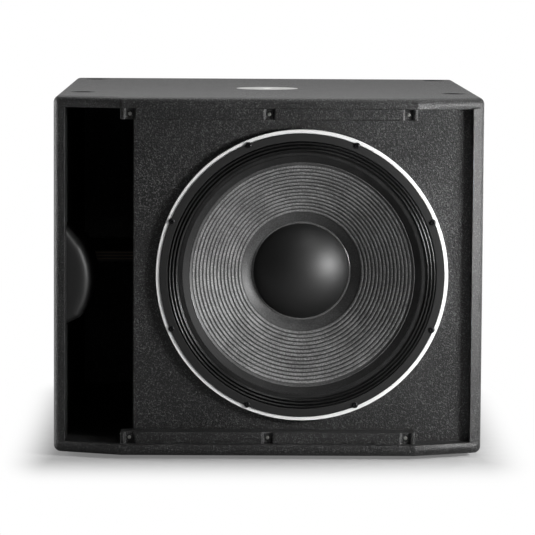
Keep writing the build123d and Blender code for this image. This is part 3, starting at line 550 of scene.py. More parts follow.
addPiece("caster_inserts",
         [turned(rows, (x, y, z), out, 32, closed) for rows, y, out, closed in insertParts
          for x, z in insertSpots],
         "blackOxide", slot="plated_steel")
print("cabinet made")


# ---- driver; depths are measured from the baffle's front into the cabinet

driver = dict(flangeInner=208.5, flangeOuter=230.0, lipInner=224.3, flangeFront=-10.0, flangeSeat=-7.5,
              turns=240, gasketOuter=223.9, gasketInner=211.5, gasketFront=-11.5, gasketBack=-8.1,
              scallop=5.3, scallopReach=226.6, screwCircle=221.5, screws=8, coneOuter=193.6, lip=188.0,
              slope=0.678, ribFirst=97.5, ribPitch=5.63, ribs=14, ribHeight=1.4, ribStart=94.0,
              capRadius=76.7, capHeight=38.0, bandInner=177.2, coil=51.0, rollFirst=198.2, rollPitch=5.2,
              rolls=3, rollHeight=3.0, surroundThick=0.6, sectors=24)
axisX, _, axisZ = middleMm("driver_frame")
hub = np.array([axisX, baffleLow[1], axisZ])
d = driver
seat, front, lip, coneOuter, coil = d["flangeSeat"], d["flangeFront"], d["lip"], d["coneOuter"], d["coil"]
plain, gasketInner, gasketFront = d["gasketOuter"], d["gasketInner"], d["gasketFront"]
reach = d["scallopReach"]
pitch = 2 * np.pi / d["screws"]


def lathe(name, rows, material, body="cabinet", steps=d["turns"], closed=True, **finish):
    # each row is a radius and a depth behind the baffle's front
    return addPiece(name, [turned(rows, hub, rearwards, steps, closed)], material, body, **finish)


def onCone(name, rows, material, steps=192, closed=True, **finish):
    return lathe(name, rows, material, "cone_assembly", steps, closed, **finish)


rimRows = [(d["flangeInner"], seat), (d["lipInner"], seat), (d["lipInner"], front),
           (d["flangeOuter"], front), (d["flangeOuter"], -0.1), (d["flangeInner"], -0.1)]
lathe("driver_rim", softened(rimRows, [0.6, 0.3, 0.7, 1.0, 0.4, 0.4], 4, True), "machinedAluminium",
      replaces=["driver_frame"], slot="cast_frame")
# the pressed basket behind it: rim skirt, eight bent spokes, and the cup for the spider
cup = dict(radius=106.0, wall=8.0, seat=92.0, floor=118.0, floorThick=6.0, bore=60.0, spokeWidth=12.0)
skirt = [(d["flangeInner"], 0), (213, 0), (213, 14), (d["flangeInner"], 14)]
cupInner, cupFloor = cup["radius"] - cup["wall"], cup["floor"] - cup["floorThick"]
cupRows = [(cup["radius"], cup["seat"]), (cup["radius"], cup["floor"]), (cup["bore"], cup["floor"]),
           (cup["bore"], cupFloor), (cupInner, cupFloor), (cupInner, cup["seat"])]
spoke = softened([(209.5, 0.5), (212, 0.5), (212, 14), (199.5, 64.9), (105, 117.5), (102, 117.5), (102, 94),
                  (179.5, 59), (209.5, 14)], [0.5, 0.5, 5, 16, 0.5, 0.5, 0.5, 16, 5], 5, True)
spokes = []
for a in pitch * (np.arange(d["screws"]) + 0.5):  # one spoke behind each screw
    outwards, across = np.array([np.cos(a), 0, np.sin(a)]), np.array([-np.sin(a), 0, np.cos(a)])
    flat = hub + spoke[:, :1] * outwards + spoke[:, 1:] * rearwards
    vertices, faces = gridSurface(np.stack([flat + across * cup["spokeWidth"] * s for s in (-0.5, 0.5)]),
                                  False, True)
    count = len(spoke)
    spokes.append((vertices, faces + [list(range(count)), list(range(count, 2 * count))]))
addPiece("driver_basket", [turned(softened(skirt, 0.6, 3, True), hub, rearwards, d["turns"], True),
                           turned(softened(cupRows, 1.0, 3, True), hub, rearwards, 160, True), *spokes],
         "castBlack", replaces=["driver_frame"], slot="cast_frame", ease=0.6)


def scalloped(radius, angle):
    # rows beyond the gasket's plain edge swell to a circle's outline round each screw
    circle, scallop = driver["screwCircle"], driver["scallop"]
    away = circle * np.sin(np.abs(angle % pitch - pitch / 2))
    bulge = circle * np.cos(np.arcsin(np.clip(away / circle, 0, 1)))
    bulge += np.sqrt(np.clip(scallop ** 2 - away ** 2, 0, None))
    swell = np.where(away < scallop, np.maximum(bulge, plain), plain) - plain
    return np.where(radius > plain, plain + np.clip((radius - plain) / (reach - plain), 0, 1) * swell, radius)


gasketRows = [(gasketInner, d["gasketBack"]), (plain, d["gasketBack"]), (plain, front - 0.04),
              (reach, front - 0.05), (reach, -10.9), (reach - 0.25, -11.3), (reach - 0.8, gasketFront),
              (plain - 1.0, gasketFront), (gasketInner + 1.2, gasketFront), (gasketInner + 0.35, -11.15),
              (gasketInner, -10.4)]
addPiece("gasket_ring", [turned(gasketRows, hub, rearwards, 960, True, scalloped)], "gasketFoam",
         replaces=["front_gasket"])
driverSpots = [hub + (np.cos(a) * d["screwCircle"], gasketFront, np.sin(a) * d["screwCircle"])
               for a in pitch * (np.arange(d["screws"]) + 0.5)]
addScrews("driver_cap_screws", "driver", driverSpots, forwards, "blackOxide", replaces=["driver_screws"])


def coneDepth(radius):  # the smooth front of the cone, straight from lip to neck
    return seat + (lip - radius) * driver["slope"]


def ribbed(radius):  # the cone's front with its pressed rings: rounded crests, narrow valleys
    crest = np.abs(np.cos(np.pi * (radius - driver["ribFirst"]) / driver["ribPitch"])) ** 0.75
    ribEnd = driver["ribFirst"] + (driver["ribs"] - 0.5) * driver["ribPitch"] + 1.0
    inside = np.clip((radius - driver["ribStart"]) / 2.0, 0, 1) * np.clip((ribEnd - radius) / 1.5, 0, 1)
    return coneDepth(radius) - driver["ribHeight"] * crest * inside


# painted shade: the valleys between the pressed rings are painted darker, standing in for the shade that
# falls there, and the crests keep the felt's grey
tree = paints["coatedPulpPaintedShade"].node_tree
shader = tree.nodes["Principled BSDF"]
felt = shader.inputs["Base Color"].links[0].from_socket
coords = addNode(tree, "TexCoord").outputs["Object"]
fromAxis = addNode(tree, "VectorMath", {"operation": "MULTIPLY_ADD"},
                   {0: coords, 1: (1, 0, 1), 2: (-axisX * mm, 0, -axisZ * mm)}).outputs[0]
away = addNode(tree, "VectorMath", {"operation": "LENGTH"}, {0: fromAxis}).outputs["Value"]
ringCount = remap(tree, away, d["ribFirst"] * mm, (d["ribFirst"] + d["ribPitch"]) * mm, clamp=False)
paintedValleyShade = remap(tree, calc(tree, "PINGPONG", ringCount, 0.5), 0.25, 0.42, 0.0, 0.9,
               interpolation_type="SMOOTHSTEP")
started = calc(tree, "GREATER_THAN", ringCount, -0.5)
unfinished = calc(tree, "LESS_THAN", ringCount, d["ribs"] - 0.5)
ringed = calc(tree, "MULTIPLY", started, unfinished)
plainDarkening = 0.76  # the plain parts are darkened all over at this share
paintedShadeShare = addNode(tree, "Mix", {"data_type": "FLOAT"}, {0: ringed, 2: plainDarkening, 3: paintedValleyShade})
# the dark colour mixed in here is the painted shade
paintedShadeMix = addNode(tree, "Mix", {"data_type": "RGBA"}, {0: paintedShadeShare.outputs[0], 6: felt, 7: linear("#0c0c0c")})
tree.links.new(paintedShadeMix.outputs[2], shader.inputs["Base Color"])

frontRadii = np.concatenate([[coneOuter, coneOuter - 1.0, 190.5], np.linspace(lip, 176.5, 6),
                             np.arange(175.8, d["ribStart"], -d["ribPitch"] / 10),
                             np.linspace(93.6, coil, 12)])
frontDepths = np.where(frontRadii > lip, seat, ribbed(frontRadii))
backRadii = np.array([coil, 90, 130, 170, lip, coneOuter])
backDepths = np.array([coneDepth(coil) + 1.8, *(coneDepth(backRadii[1:5]) + 2.17), seat + 1.2])
# the cone's material holds the painted shade of its ring valleys
onCone("cone_body", np.column_stack([np.r_[frontRadii, backRadii], np.r_[frontDepths, backDepths]]),
       "coatedPulpPaintedShade", replaces=["cone"], sharp=50, smoothed=False)
bandInner, bandOuter = d["bandInner"], coneOuter - 0.3
bandRows = [(bandInner, coneDepth(bandInner) - 0.5), (lip, seat - 0.55), (bandOuter, seat - 0.75),
            (bandOuter, seat - 0.62), (lip, seat - 0.05), (bandInner - 0.8, coneDepth(bandInner) + 0.3)]
onCone("edge_damping", softened(bandRows, [0.3, 1.6, 0.1, 0.1, 0.5, 0.2], 4, True), "dampedEdge",
       slot="surround_cloth")


def beadRows(radius, depth, wide, tall):  # a bead's oval section
    a = np.linspace(0, 2 * np.pi, 10, endpoint=False)
    return np.column_stack([radius + wide * np.cos(a), depth + tall * np.sin(a)])


onCone("edge_bead", beadRows(bandInner, coneDepth(bandInner) - 0.5, 0.8, 0.8), "glueBead",
       slot="surround_cloth")
capRadius, capHeight = d["capRadius"], d["capHeight"]
capSphere = (capRadius ** 2 + capHeight ** 2) / (2 * capHeight)
capSeat = coneDepth(capRadius)
capCentre = capSeat + capSphere - capHeight
capTurn = np.linspace(0, np.arccos((capCentre - capSeat) / capSphere), 28)
capRows = [(r * np.sin(a), capCentre - r * np.cos(a))
           for r, turns in ((capSphere, capTurn), (capSphere - 1, capTurn[::-1])) for a in turns]
onCone("dust_cap_dome", capRows, "capPulp", 128, False, replaces=["dust_cap"], sharp=50, smoothed=False)
onCone("cap_glue_bead", beadRows(capRadius + 0.8, capSeat - 0.6, 1.9, 1.5), "glueBead", 128,
       slot="paper_cone")


def softSectors(node, front, back, count, outerStop, innerStop):
    # a thin closed ring in equal sectors; neighbours share an edge and the same reach from the axis
    rows = np.concatenate([front, back[::-1]])
    n, m = len(rows), 13
    ends = [[i * m + j, (i + 1) * m + j, (n - 2 - i) * m + j, (n - 1 - i) * m + j]
            for j in (0, m - 1) for i in range(len(front) - 1)]  # strips from front to back
    for k in range(count):
        angle = 2 * np.pi * (k + np.linspace(0, 1, m)) / count
        ring = np.stack([np.cos(angle), 0 * angle, np.sin(angle)], 1)
        points = hub + rows[:, 1, None, None] * np.array(rearwards) + rows[:, 0, None, None] * ring
        vertices, faces = gridSurface(points, True)
        piece = addPiece(f"{node}_sector_{k + 1}", [(vertices, faces + ends)], "dopedCloth", None,
                         replaces=[node], sharp=60, smoothed=False)
        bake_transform(piece)


radii = np.concatenate([np.linspace(plain, 212.5, 4), np.linspace(211.6, 190.6, 70), [189.6, 188.2]])
phase = (radii - d["rollFirst"]) / d["rollPitch"]
within = (phase > -0.5) & (phase < d["rolls"] - 0.5)
rolls = np.where(within, d["rollHeight"] * np.cos(np.pi * (phase - np.round(phase))) ** 0.8, 0)
rollBack = seat - d["surroundThick"] - rolls
softSectors("surround", np.column_stack([radii, rollBack]),
            np.column_stack([radii, rollBack + d["surroundThick"]]), d["sectors"], 209.5, 192.5)
radii = np.linspace(cup["radius"] - 0.2, coil, 45)
ripple = np.where((radii > 56) & (radii < 98), np.abs(2.6 * np.sin(2 * np.pi * (radii - 56) / 14)), 0)
softSectors("spider", *(np.column_stack([radii, depth - ripple]) for depth in (91.2, 92.0)), 16, 98, 56)

winding = dict(radius=52.1, ridge=0.2, first=112, last=136, formerEnd=144)
neck, formerEnd, first, last = coneDepth(coil), winding["formerEnd"], winding["first"], winding["last"]
onCone("coil_former", [(coil, neck), (coil, formerEnd), (coil - 1, formerEnd), (coil - 1, neck)],
       "anodisedBlack", 128, replaces=["voice_coil"], slot="coil")
wound = np.arange(0, last - first + 0.01, 0.25)  # a copper wire's ridge each millimetre
wires = np.column_stack([winding["radius"] + winding["ridge"] * np.abs(np.sin(np.pi * wound)), first + wound])
windingRows = wires.tolist() + [(coil, last), (coil, first)]
onCone("coil_winding", windingRows, "copperWire", 96, replaces=["voice_coil"], slot="coil")
motor = {"top_plate_ring": ("zincSteel", [(53.5, 118), (104, 118), (104, 130), (53.5, 130)], 0.8),
         "magnet_ring_ferrite": ("ferrite", [(60, 130), (110, 130), (110, 158), (60, 158)], 1.4),
         "back_plate_pole": ("zincSteel",
                             [(14, 118), (48.5, 118), (48.5, 158), (108, 158), (108, 170), (14, 170)],
                             [1, 1, 0.6, 1.2, 1.6, 3])}
for name, (material, corners, cuts) in motor.items():
    lathe(name, softened(corners, cuts, 4, True), material, replaces=[name.rsplit("_", 1)[0]])
dressed("driver_terminals", "mouldedBlack", 0.5)
low, high = boxMm("driver_terminals")
postRows = softened([(0, 0), (3.6, 0), (3.6, 3), (2.2, 3), (2.2, 5), (3.4, 5), (3.4, 9), (0, 9)],
                    [0, 0.3, 0.3, 0.2, 0.2, 0.3, 0.6, 0], 3)
posts = [turned(postRows, (low[0] + (high[0] - low[0]) * share, (low[1] + high[1]) / 2, high[2] - 0.1),
                upwards, 24)
         for share in (0.25, 0.75)]
addPiece("terminal_posts", posts, "nickel", slot="latch_metal")
print("driver made")


# ---- handles, feet and pole socket

handle = dict(wall=3.0, ends=8, corners=24, flangeInset=1.0, flangeCorner=18.0, screwInset=7.5, screwAlong=62,
              screwUp=42, grip=(17.0, 22.0), gripRadius=13.0, hubRadius=10.5, hubLength=11.0, ridge=0.35,
              ridgePitch=7.0)
wall, flangeInset = handle["wall"], handle["flangeInset"]


def arcThrough(a, b, c, steps):  # points on the circle through three points, from the first to the last
    a, b, c = (np.array(p, float) for p in (a, b, c))
    lines = np.array([b - a, c - b])
    middles = np.array([(a + b) / 2, (b + c) / 2])
    centre = np.linalg.solve(lines, (lines * middles).sum(1))
    first, last = (np.arctan2(*(p - centre)[::-1]) for p in (a, c))
    turn = (last - first + np.pi) % (2 * np.pi) - np.pi
    angle = first + turn * np.linspace(0, 1, steps)
    return centre + np.linalg.norm(a - centre) * np.column_stack([np.cos(angle), np.sin(angle)])


# the cup's section: depth in from the outer face, height from the handle's middle
bulge = arcThrough((44, 48), (60, -14), (41, -69), 22)
shape = np.concatenate([[(wall, 78), (18, 78)], bulge, [(18, -80), (wall, -80)]])
cuts = np.zeros(len(shape))
cuts[[1, -2]] = 4.0
cuts[[2, -3]] = 2.2
outerSection = softened(shape, cuts, 5)
tangent = np.gradient(outerSection, axis=0)
tangent /= np.linalg.norm(tangent, axis=1, keepdims=True)
innerSection = outerSection + wall * np.column_stack([tangent[:, 1], -tangent[:, 0]])
innerSection[[0, -1], 0] = flangeInset
for side, sign in (("left", -1), ("right", 1)):
    low, high = boxMm(side + "_handle_cup")
    barLow, barHigh = boxMm(side + "_handle_bar")
    _, centreY, flangeZ = (low + high) / 2
    handleZ = (barLow[2] + barHigh[2]) / 2 - handle["grip"][1]
    halfLength = (high[1] - low[1]) / 2 - 15

    def inPanel(along, height, depth):
        return np.stack(np.broadcast_arrays(sign * (sideX - depth), centreY + along, flangeZ + height), -1)

    turn = np.radians(np.linspace(-90, 90, 61))
    sine, cosine = np.sin(turn), np.clip(np.cos(turn), 0, 1)
    skins, mouths = [], []
    for section, length, start in ((outerSection, halfLength, wall),
                                   (innerSection, halfLength - wall, flangeInset)):
        # the section is carried along the handle, and shrinks towards the ends as a superellipse does
        along = length * np.sign(sine) * np.abs(sine) ** (2 / handle["ends"])
        depth = start + (section[:, :1] - start) * cosine ** (2 / handle["ends"])
        height = -1 + (section[:, 1:] + 1) * cosine ** (2 / handle["corners"]) + handleZ - flangeZ
        skin = inPanel(along, height, depth)
        skins.append(gridSurface(skin))
        mouths.append(np.concatenate([skin[0], skin[-1][::-1][1:-1]]))
    x, y = (high[1] - low[1]) / 2, (high[2] - low[2]) / 2
    c = handle["flangeCorner"]
    octagon = [(-x + c, -y), (x - c, -y), (x, -y + c), (x, y - c), (x - c, y), (-x + c, y), (-x, y - c),
               (-x, -y + c)]
    rings = [inPanel(*roundedRing(octagon, 5, inset, 5).T, depth) for inset, depth in
             ((0.9, flangeInset), (0.3, flangeInset + 0.25), (0.05, flangeInset + 0.8), (0.05, 2.95))]
    rings[-1][:, 0] = mouths[0][0, 0]
    addPiece(side + "_handle_shell", [*skins, gridSurface(np.array(rings), False, True),
                                      filled([rings[0], mouths[1]]), filled([rings[-1], mouths[0]])],
             "mouldedBlack", replaces=[side + "_handle_cup"], sharp=38)
    screwX, screwY = x - handle["screwInset"], y - handle["screwInset"]
    spots = [inPanel(sx * along, sy * height, flangeInset) for along, height in
             ((handle["screwAlong"], screwY), (screwX, handle["screwUp"])) for sx in (-1, 1)
             for sy in (-1, 1)]
    addScrews(side + "_handle_screws", "handle", spots, (sign, 0, 0), "blackOxide", slot="black_screw")
    gripAxis = (sign * (sideX - handle["grip"][0]), centreY, handleZ + handle["grip"][1])
    reachY = (barHigh[1] - barLow[1]) / 2
    sleeve = reachY - handle["hubLength"]
    grip = np.linspace(-sleeve + 2, sleeve - 2, 241)
    valleys = (1 - np.abs(np.cos(np.pi * grip / handle["ridgePitch"])) ** 6) * (np.abs(grip) < sleeve - 10)
    ridges = handle["gripRadius"] - handle["ridge"] * valleys
    gripRows = [(0, -sleeve), (11.2, -sleeve), (12.5, -sleeve + 0.5), *zip(ridges - 0.02, grip),
                (12.5, sleeve - 0.5), (11.2, sleeve), (0, sleeve)]
    addPiece(side + "_grip_sleeve", [turned(gripRows, gripAxis, rearwards, 64)], "rubber",
             replaces=[side + "_handle_bar"])
    hubs = [turned(softened([(0, a), (handle["hubRadius"], a), (handle["hubRadius"], b), (0, b)],
                            [0, 0.8, 0.8, 0], 4),
                   gripAxis, rearwards, 48) for a, b in ((-reachY, -sleeve), (sleeve, reachY))]
    addPiece(side + "_grip_hubs", hubs, "mouldedBlack", replaces=[side + "_handle_bar"],
             slot="handle_moulding")

footRows = softened([(0, 2.6), (5.0, 2.6), (5.6, 0), (16, 0), (18, 6), (0, 6)], [0, 0.4, 0.6, 1.4, 0.4, 0], 5)
for name, (x, y, _) in feet.items():
    addPiece(name + "_pad", [turned(footRows, (x, y, floorZ), upwards, 64)], "rubber", replaces=[name],
             slot="foot_rubber")
footSpots = [(x, y, floorZ + 2.7) for x, y, _ in feet.values()]
addScrews("foot_screws", "foot", footSpots, downwards, "zincSteel", slot="plated_steel")

pole = dict(hole=8.75, chamfer=10.6, plate=51.0, thick=3.0, boss=15.0, length=45.0, tooth=1.15, pitch=2.5,
            lead=1.2, screwRing=34.0, dimple=5.2, recess=2.3)
hole, plate, boss, length, tooth = (pole[key] for key in ("hole", "plate", "boss", "length", "tooth"))
poleTop = np.array([poleCentre[0], poleCentre[1], poleHigh[2]])
depths = np.arange(-length, -pole["lead"], pole["pitch"] / 6)


def threaded(radius, angle):  # the tooth rises and falls once a pitch, and a pitch along for each turn
    away = np.abs(((depths[:, None] / pole["pitch"] + angle / (2 * np.pi)) % 1) - 0.5) * 2
    ease = np.clip((-pole["lead"] - depths[:, None]) / 2, 0, 1)
    return radius + tooth * np.clip(away * 1.25 - 0.1, 0, 1) * ease


def crossRecess(radius, angle):
    return np.where(radius <= pole["recess"], radius * crossed(angle), radius)


bore = turned(np.column_stack([np.full(len(depths), hole), depths]), poleTop, upwards, 72, False, threaded)
rimRows = [(hole, depths[-1]), (pole["chamfer"] - 0.2, -0.1), (pole["chamfer"], 0)]
outsideRows = softened([(plate - 0.6, 0), (plate, 0), (plate, -pole["thick"]), (boss, -pole["thick"]),
                        (boss, -length), (hole + tooth, -length)], [0, 0.5, 0.1, 0.1, 0.8, 0], 4)
dimples = [poleTop + (pole["screwRing"] * np.cos(a), pole["screwRing"] * np.sin(a), 0)
           for a in np.radians([45, 135, 225, 315])]
plateTop = filled([circleLoop(poleTop, upwards, plate - 0.6, 144),
                   circleLoop(poleTop, upwards, pole["chamfer"], 72),
                   *(circleLoop(spot, upwards, pole["dimple"], 32) for spot in dimples)])
dimpleRows = [(pole["dimple"], 0), (pole["dimple"] - 0.3, -0.15), (pole["dimple"] - 0.4, -0.5), (2.2, -2.7),
              (0, -2.7)]
bossEnd = filled([circleLoop(poleTop - (0, 0, length), upwards, hole + tooth, 144), bore[0][:72]])
addPiece("pole_plate", [bore, turned(rimRows, poleTop, upwards, 72),
                        turned(outsideRows, poleTop, upwards, 144), plateTop, bossEnd,
                        *(turned(dimpleRows, spot, upwards, 32) for spot in dimples)],
         "satinSteel", replaces=["pole_socket"])
sunkHead = [(0, -2.6), (pole["recess"], -2.6), (4.5, -0.75), (4.5, -0.35), (4.2, -0.2), (2.4, -0.2),
            (pole["recess"], -0.22), (1.9, -1.4), (0, -1.6)]
addPiece("pole_plate_screws", [turned(sunkHead, spot, upwards, 32, False, crossRecess) for spot in dimples],
         "zincSteel", slot="bright_steel")
print("handles, feet and pole socket made")


# ---- amplifier

amp = dict(floor=330.0, flangeFront=369.0, rear=370.0, flangeX=152.5, flangeY=217.5, screwPitch=76)
trayUp = amp["flangeFront"] - amp["floor"]


def onTray(x, y, height):  # places on the amplifier's recessed panel, seen from behind: right, up, out
    return np.stack(np.broadcast_arrays(axisX - np.asarray(x, float), amp["floor"] + height, axisZ + y), -1)


def lowerFlange(points):
    # the flange is drawn back a little, so that its screw heads stay within the cabinet's depth
    points[:, 1] = np.where(points[:, 1] > amp["rear"] - 0.5, amp["flangeFront"], points[:, 1])
    return points


dressed("amp_tray", "powderCoat", 0.45, shift=lowerFlange)
for node, material, ease in (("heatsink", "anodisedBlack", 0.35), ("amp_cover", "zincSteel", 0.8),
                             ("amp_board", "solderMask", 0.15), ("level_pot", "zincSteel", 0.3),
                             ("polarity_switch", "mouldedBlack", 0.3), ("polarity_button", "glossBlack", 0.6),
                             ("power_switch", "mouldedBlack", 0.5), ("power_rocker", "glossBlack", 0.5),
                             ("first_input_latch", "nickel", 0.4), ("second_input_latch", "nickel", 0.4)):
    dressed(node, material, ease)
sideSpots = [(sx * amp["flangeX"], share * amp["flangeY"]) for sx in (-1, 1)
             for share in (-1, -0.5, 0, 0.5, 1)]
endSpots = [(k * amp["screwPitch"], sy * amp["flangeY"]) for sy in (-1, 1) for k in (-1, 0, 1)]
addScrews("amp_flange_screws", "amp", [onTray(x, y, trayUp) for x, y in sideSpots + endSpots], rearwards,
          "blackOxide", slot="black_screw")

jacks = {"first_input_jack": (-92, -66), "second_input_jack": (-48, -66), "first_link_jack": (-92, -114),
         "second_link_jack": (-48, -114)}
jack = dict(width=26, height=31, corner=3.2, plate=2.0, bore=9.5, drop=1.5, shell=11.5, length=22.0,
            cavity=18.0, core=6.5, plug=3.2, inputRing=4.9, linkRing=3.8, latch=(8.6, 3.4), latchUp=12,
            screws=(10.0, 12.6))
bore, shell, deep, core, plug = (jack[key] for key in ("bore", "shell", "length", "core", "plug"))
plate, floor = jack["plate"], -jack["cavity"] - jack["plate"]
shellRows = [(shell, -plate), (shell, -deep - 1.6), (shell - 0.5, -deep - 2), (0, -deep - 2)]
coreRows = softened([(core, floor - 0.5), (core, -5.0), (plug, -5.0), (plug, floor + 1), (0, floor + 1),
                     (0, floor - 0.5)], [0, 0.6, 0.4, 0, 0, 0], 4)
clipRows = [(0, -5.1), (1.15, -5.1), (1.15, -4.9), (0.9, -4.85), (0.75, -5.0), (0, -5.05)]
pinRows = softened([(0, floor), (1.2, floor), (1.2, -5.2), (0, -5.2)], [0, 0, 0.8, 0], 5)
turn = np.radians(np.arange(0, 360, 5))
pins, jackSpots = [], []
for name, (x, y) in jacks.items():
    isInput = "input" in name
    outlet = onTray(x, y - jack["drop"], plate)
    mouth, rear = (np.column_stack([x + r * np.cos(turn), y - jack["drop"] + r * np.sin(turn)])
                   for r in (bore, shell))
    slots = [roundedRing(rectangle(*jack["latch"], (x, y + jack["latchUp"])), 0.5, 0, 4)] if isInput else []
    surfaces = slab(rectangle(jack["width"], jack["height"], (x, y)), jack["corner"],
                    [(0, 0), (0, 1.5), (0.15, 1.85), (0.5, plate)], onTray, [mouth, *slots], 6,
                    [rear, *slots])
    surfaces += [turned([(bore, 0), (bore - 0.3, -0.3), (bore - 0.3, floor), (0, floor)],
                        outlet, rearwards, turn),
                 turned(shellRows, outlet, rearwards, turn)]
    if isInput:  # the socket's core with a mouth for a 6.3 mm plug, and the latch's slot through the plate
        surfaces += [turned(coreRows, outlet, rearwards, 48, True),
                     gridSurface(np.array([onTray(*slots[0].T, plate), onTray(*slots[0].T, 0.0)]),
                                 False, True)]
    ring = jack["inputRing"] if isInput else jack["linkRing"]
    pins += [turned(clipRows if isInput else pinRows, outlet + (-ring * np.cos(a), 0, ring * np.sin(a)),
                    rearwards, 20)
             for a in np.radians([90, 210, 330])]
    addPiece(name + "_shell", surfaces, "mouldedBlack", replaces=[name], slot="connector_moulding")
    jackSpots += [onTray(x + s * jack["screws"][0], y - s * jack["screws"][1], plate) for s in (-1, 1)]
addPiece("jack_contacts", pins, "nickel", slot="latch_metal")
addScrews("jack_screws", "jack", jackSpots, rearwards, "blackOxide", slot="black_screw")

# the level knob: eighteen shallow flutes round its side, a recess on top and a white pointer
knob = dict(spot=(8, -66), flutes=18, fluteDepth=0.45, pointer=(1.1, 3.4), pointerOut=6.9, ticks=11,
            tickHalf=0.35, tickFoot=11.2, tickTip=13.8, longTip=14.6)
dialX, dialY = knob["spot"]


def fluted(radius, angle):
    flute = 0.5 - 0.5 * np.cos(knob["flutes"] * angle)
    return np.where((radius > 7.6) & (radius < 8.95), radius - knob["fluteDepth"] * flute, radius)


knobRows = [(0, -10.0), (3.0, -10.0), (3.0, 0.3), (8.97, 0.3), (9.0, 0.8), (9.0, 2.2), (8.9, 2.8), (8.6, 3.4),
            (8.5, 6), (8.4, 9), (8.3, 12.6), (8.1, 13.6), (7.7, 14.15), (7.3, 14.3), (5.2, 14.3), (4.9, 14.1),
            (4.6, 13.9), (0, 13.8)]
addPiece("level_knob_cap", [turned(knobRows, onTray(dialX, dialY, 0), rearwards, 144, False, fluted)],
         "mouldedBlack", "knob", replaces=["level_knob"], slot="knob_moulding")
pointer = slab(rectangle(*knob["pointer"], (dialX, dialY + knob["pointerOut"])), 0.3,
               [(0, 13.7), (0, 14.3), (0.12, 14.38)], onTray, (), 3)
addPiece("level_knob_pointer", pointer, "printWhite", "knob", slot="knob_moulding")


def printed(corners, radius):  # a printed mark on the panel, a film 0.12 mm thick
    return slab(corners, radius, [(0, 0.0), (0, 0.12)], onTray, (), 2)


marks = []
for k in range(knob["ticks"]):  # one tick for each step of the dial
    a = np.radians(240 - 30 * k)
    out, across = np.array([np.cos(a), np.sin(a)]), np.array([-np.sin(a), np.cos(a)]) * knob["tickHalf"]
    foot, tip = knob["tickFoot"], knob["tickTip"] if k % 5 else knob["longTip"]
    ends = ((foot, 1), (foot, -1), (tip, -1), (tip, 1))
    marks += printed([knob["spot"] + out * r + across * s for r, s in ends], 0.1)
# thin printed frames tie each group of controls together
for x, y, width, height in ((-70, -91, 88, 96), (8, -91, 44, 96)):
    for s in (-1, 1):
        marks += printed(rectangle(0.6, height, (x + s * width / 2, y)), 0.15)
    for s in (-1, 1):
        marks += printed(rectangle(width, 0.6, (x, y + s * height / 2)), 0.15)
addPiece("panel_print", marks, "printWhite", slot="black_sheet")

lamp = dict(spot=(50, -66), pitch=12, radius=1.95, rim=0.7, dome=1.28)
lampSpots = [onTray(lamp["spot"][0], lamp["spot"][1] + lamp["pitch"] * k, 0) for k in (1, 0, -1)]
dome = np.radians(np.arange(0, 91, 10))
lensRows = [(0, 0), (lamp["radius"], 0),
            *zip(lamp["radius"] * np.cos(dome), lamp["rim"] + lamp["dome"] * np.sin(dome))]
for k, (lens, spot) in enumerate(zip(lenses, lampSpots)):
    addPiece(f"status_lens_{k + 1}", [turned(lensRows, spot, rearwards, 32)], lens, replaces=["status_leds"],
             slot="lamp_lens")
bezelRows = softened([(1.97, 0.02), (3.1, 0.02), (3.1, 0.6), (1.97, 0.6)], 0.12, 3, True)
addPiece("status_bezels", [turned(bezelRows, spot, rearwards, 32, True) for spot in lampSpots[::-1]],
         "nickel", slot="lamp_lens")

# signs on the rocker: a bar on the raised half, a ring on the pressed one
rocker = dict(spot=(100, -80), plate=2.0, tilt=8.0, rise=2.5, half=6.2, dip=1.0, signOut=3.6)
lean = np.radians(rocker["tilt"])
slope = np.arctan2(rocker["rise"] - rocker["dip"], rocker["half"])


def onRocker(end):
    # the rocker's face falls from each end to its middle; places on it run across, towards the end, and out
    def place(x, y, height):
        outward = rocker["dip"] + y * np.sin(slope) + height * np.cos(slope)
        upward = end * (y * np.cos(slope) - height * np.sin(slope))
        turnedOut = outward * np.cos(lean) + upward * np.sin(lean)
        turnedUp = upward * np.cos(lean) - outward * np.sin(lean)
        return onTray(rocker["spot"][0] + x, rocker["spot"][1] + turnedUp, rocker["plate"] + turnedOut)
    return place


bar = slab(rectangle(0.8, 3.2, (0, rocker["signOut"])), 0.1, [(0, -0.1), (0, 0.08)], onRocker(1), (), 2)
a = 2 * np.pi * np.arange(28) / 28
ringLoops = [onRocker(-1)(r * np.cos(a), rocker["signOut"] + r * np.sin(a), h)
             for r, h in ((1.2, -0.1), (1.2, 0.08), (1.9, 0.08), (1.9, -0.1))]
addPiece("rocker_signs", bar + [gridSurface(np.array(ringLoops), True, True)], "printWhite", "rocker",
         slot="button_moulding")

inlet = dict(spot=(100, -134), width=48, height=27, plate=2.0, body=(44, 23), depth=18.0, cavity=(38, 17),
             floor=-16.0, cut=4.2, blade=(2.0, 4.0), bladeTip=-7.0, screwX=21.6)
x, y = inlet["spot"]
w, h, cut, plate = inlet["cavity"][0] / 2, inlet["cavity"][1] / 2, inlet["cut"], inlet["plate"]
mouth = [(x - w, y - h), (x + w, y - h), (x + w, y + h - cut), (x + w - cut, y + h), (x - w + cut, y + h),
         (x - w, y + h - cut)]
mouthLoop = roundedRing(mouth, 0.8, 0, 4)
body = rectangle(*inlet["body"], (x, y))
surfaces = slab(rectangle(inlet["width"], inlet["height"], (x, y)), 2.5,
                [(0, 0.0), (0, 1.4), (0.2, 1.8), (0.6, plate)], onTray, [mouthLoop], 6,
                [roundedRing(body, 1.5)])
walls = np.array([onTray(*mouthLoop.T, height) for height in (plate, inlet["floor"])])
surfaces += [gridSurface(walls, False, True), filled([walls[1]])]
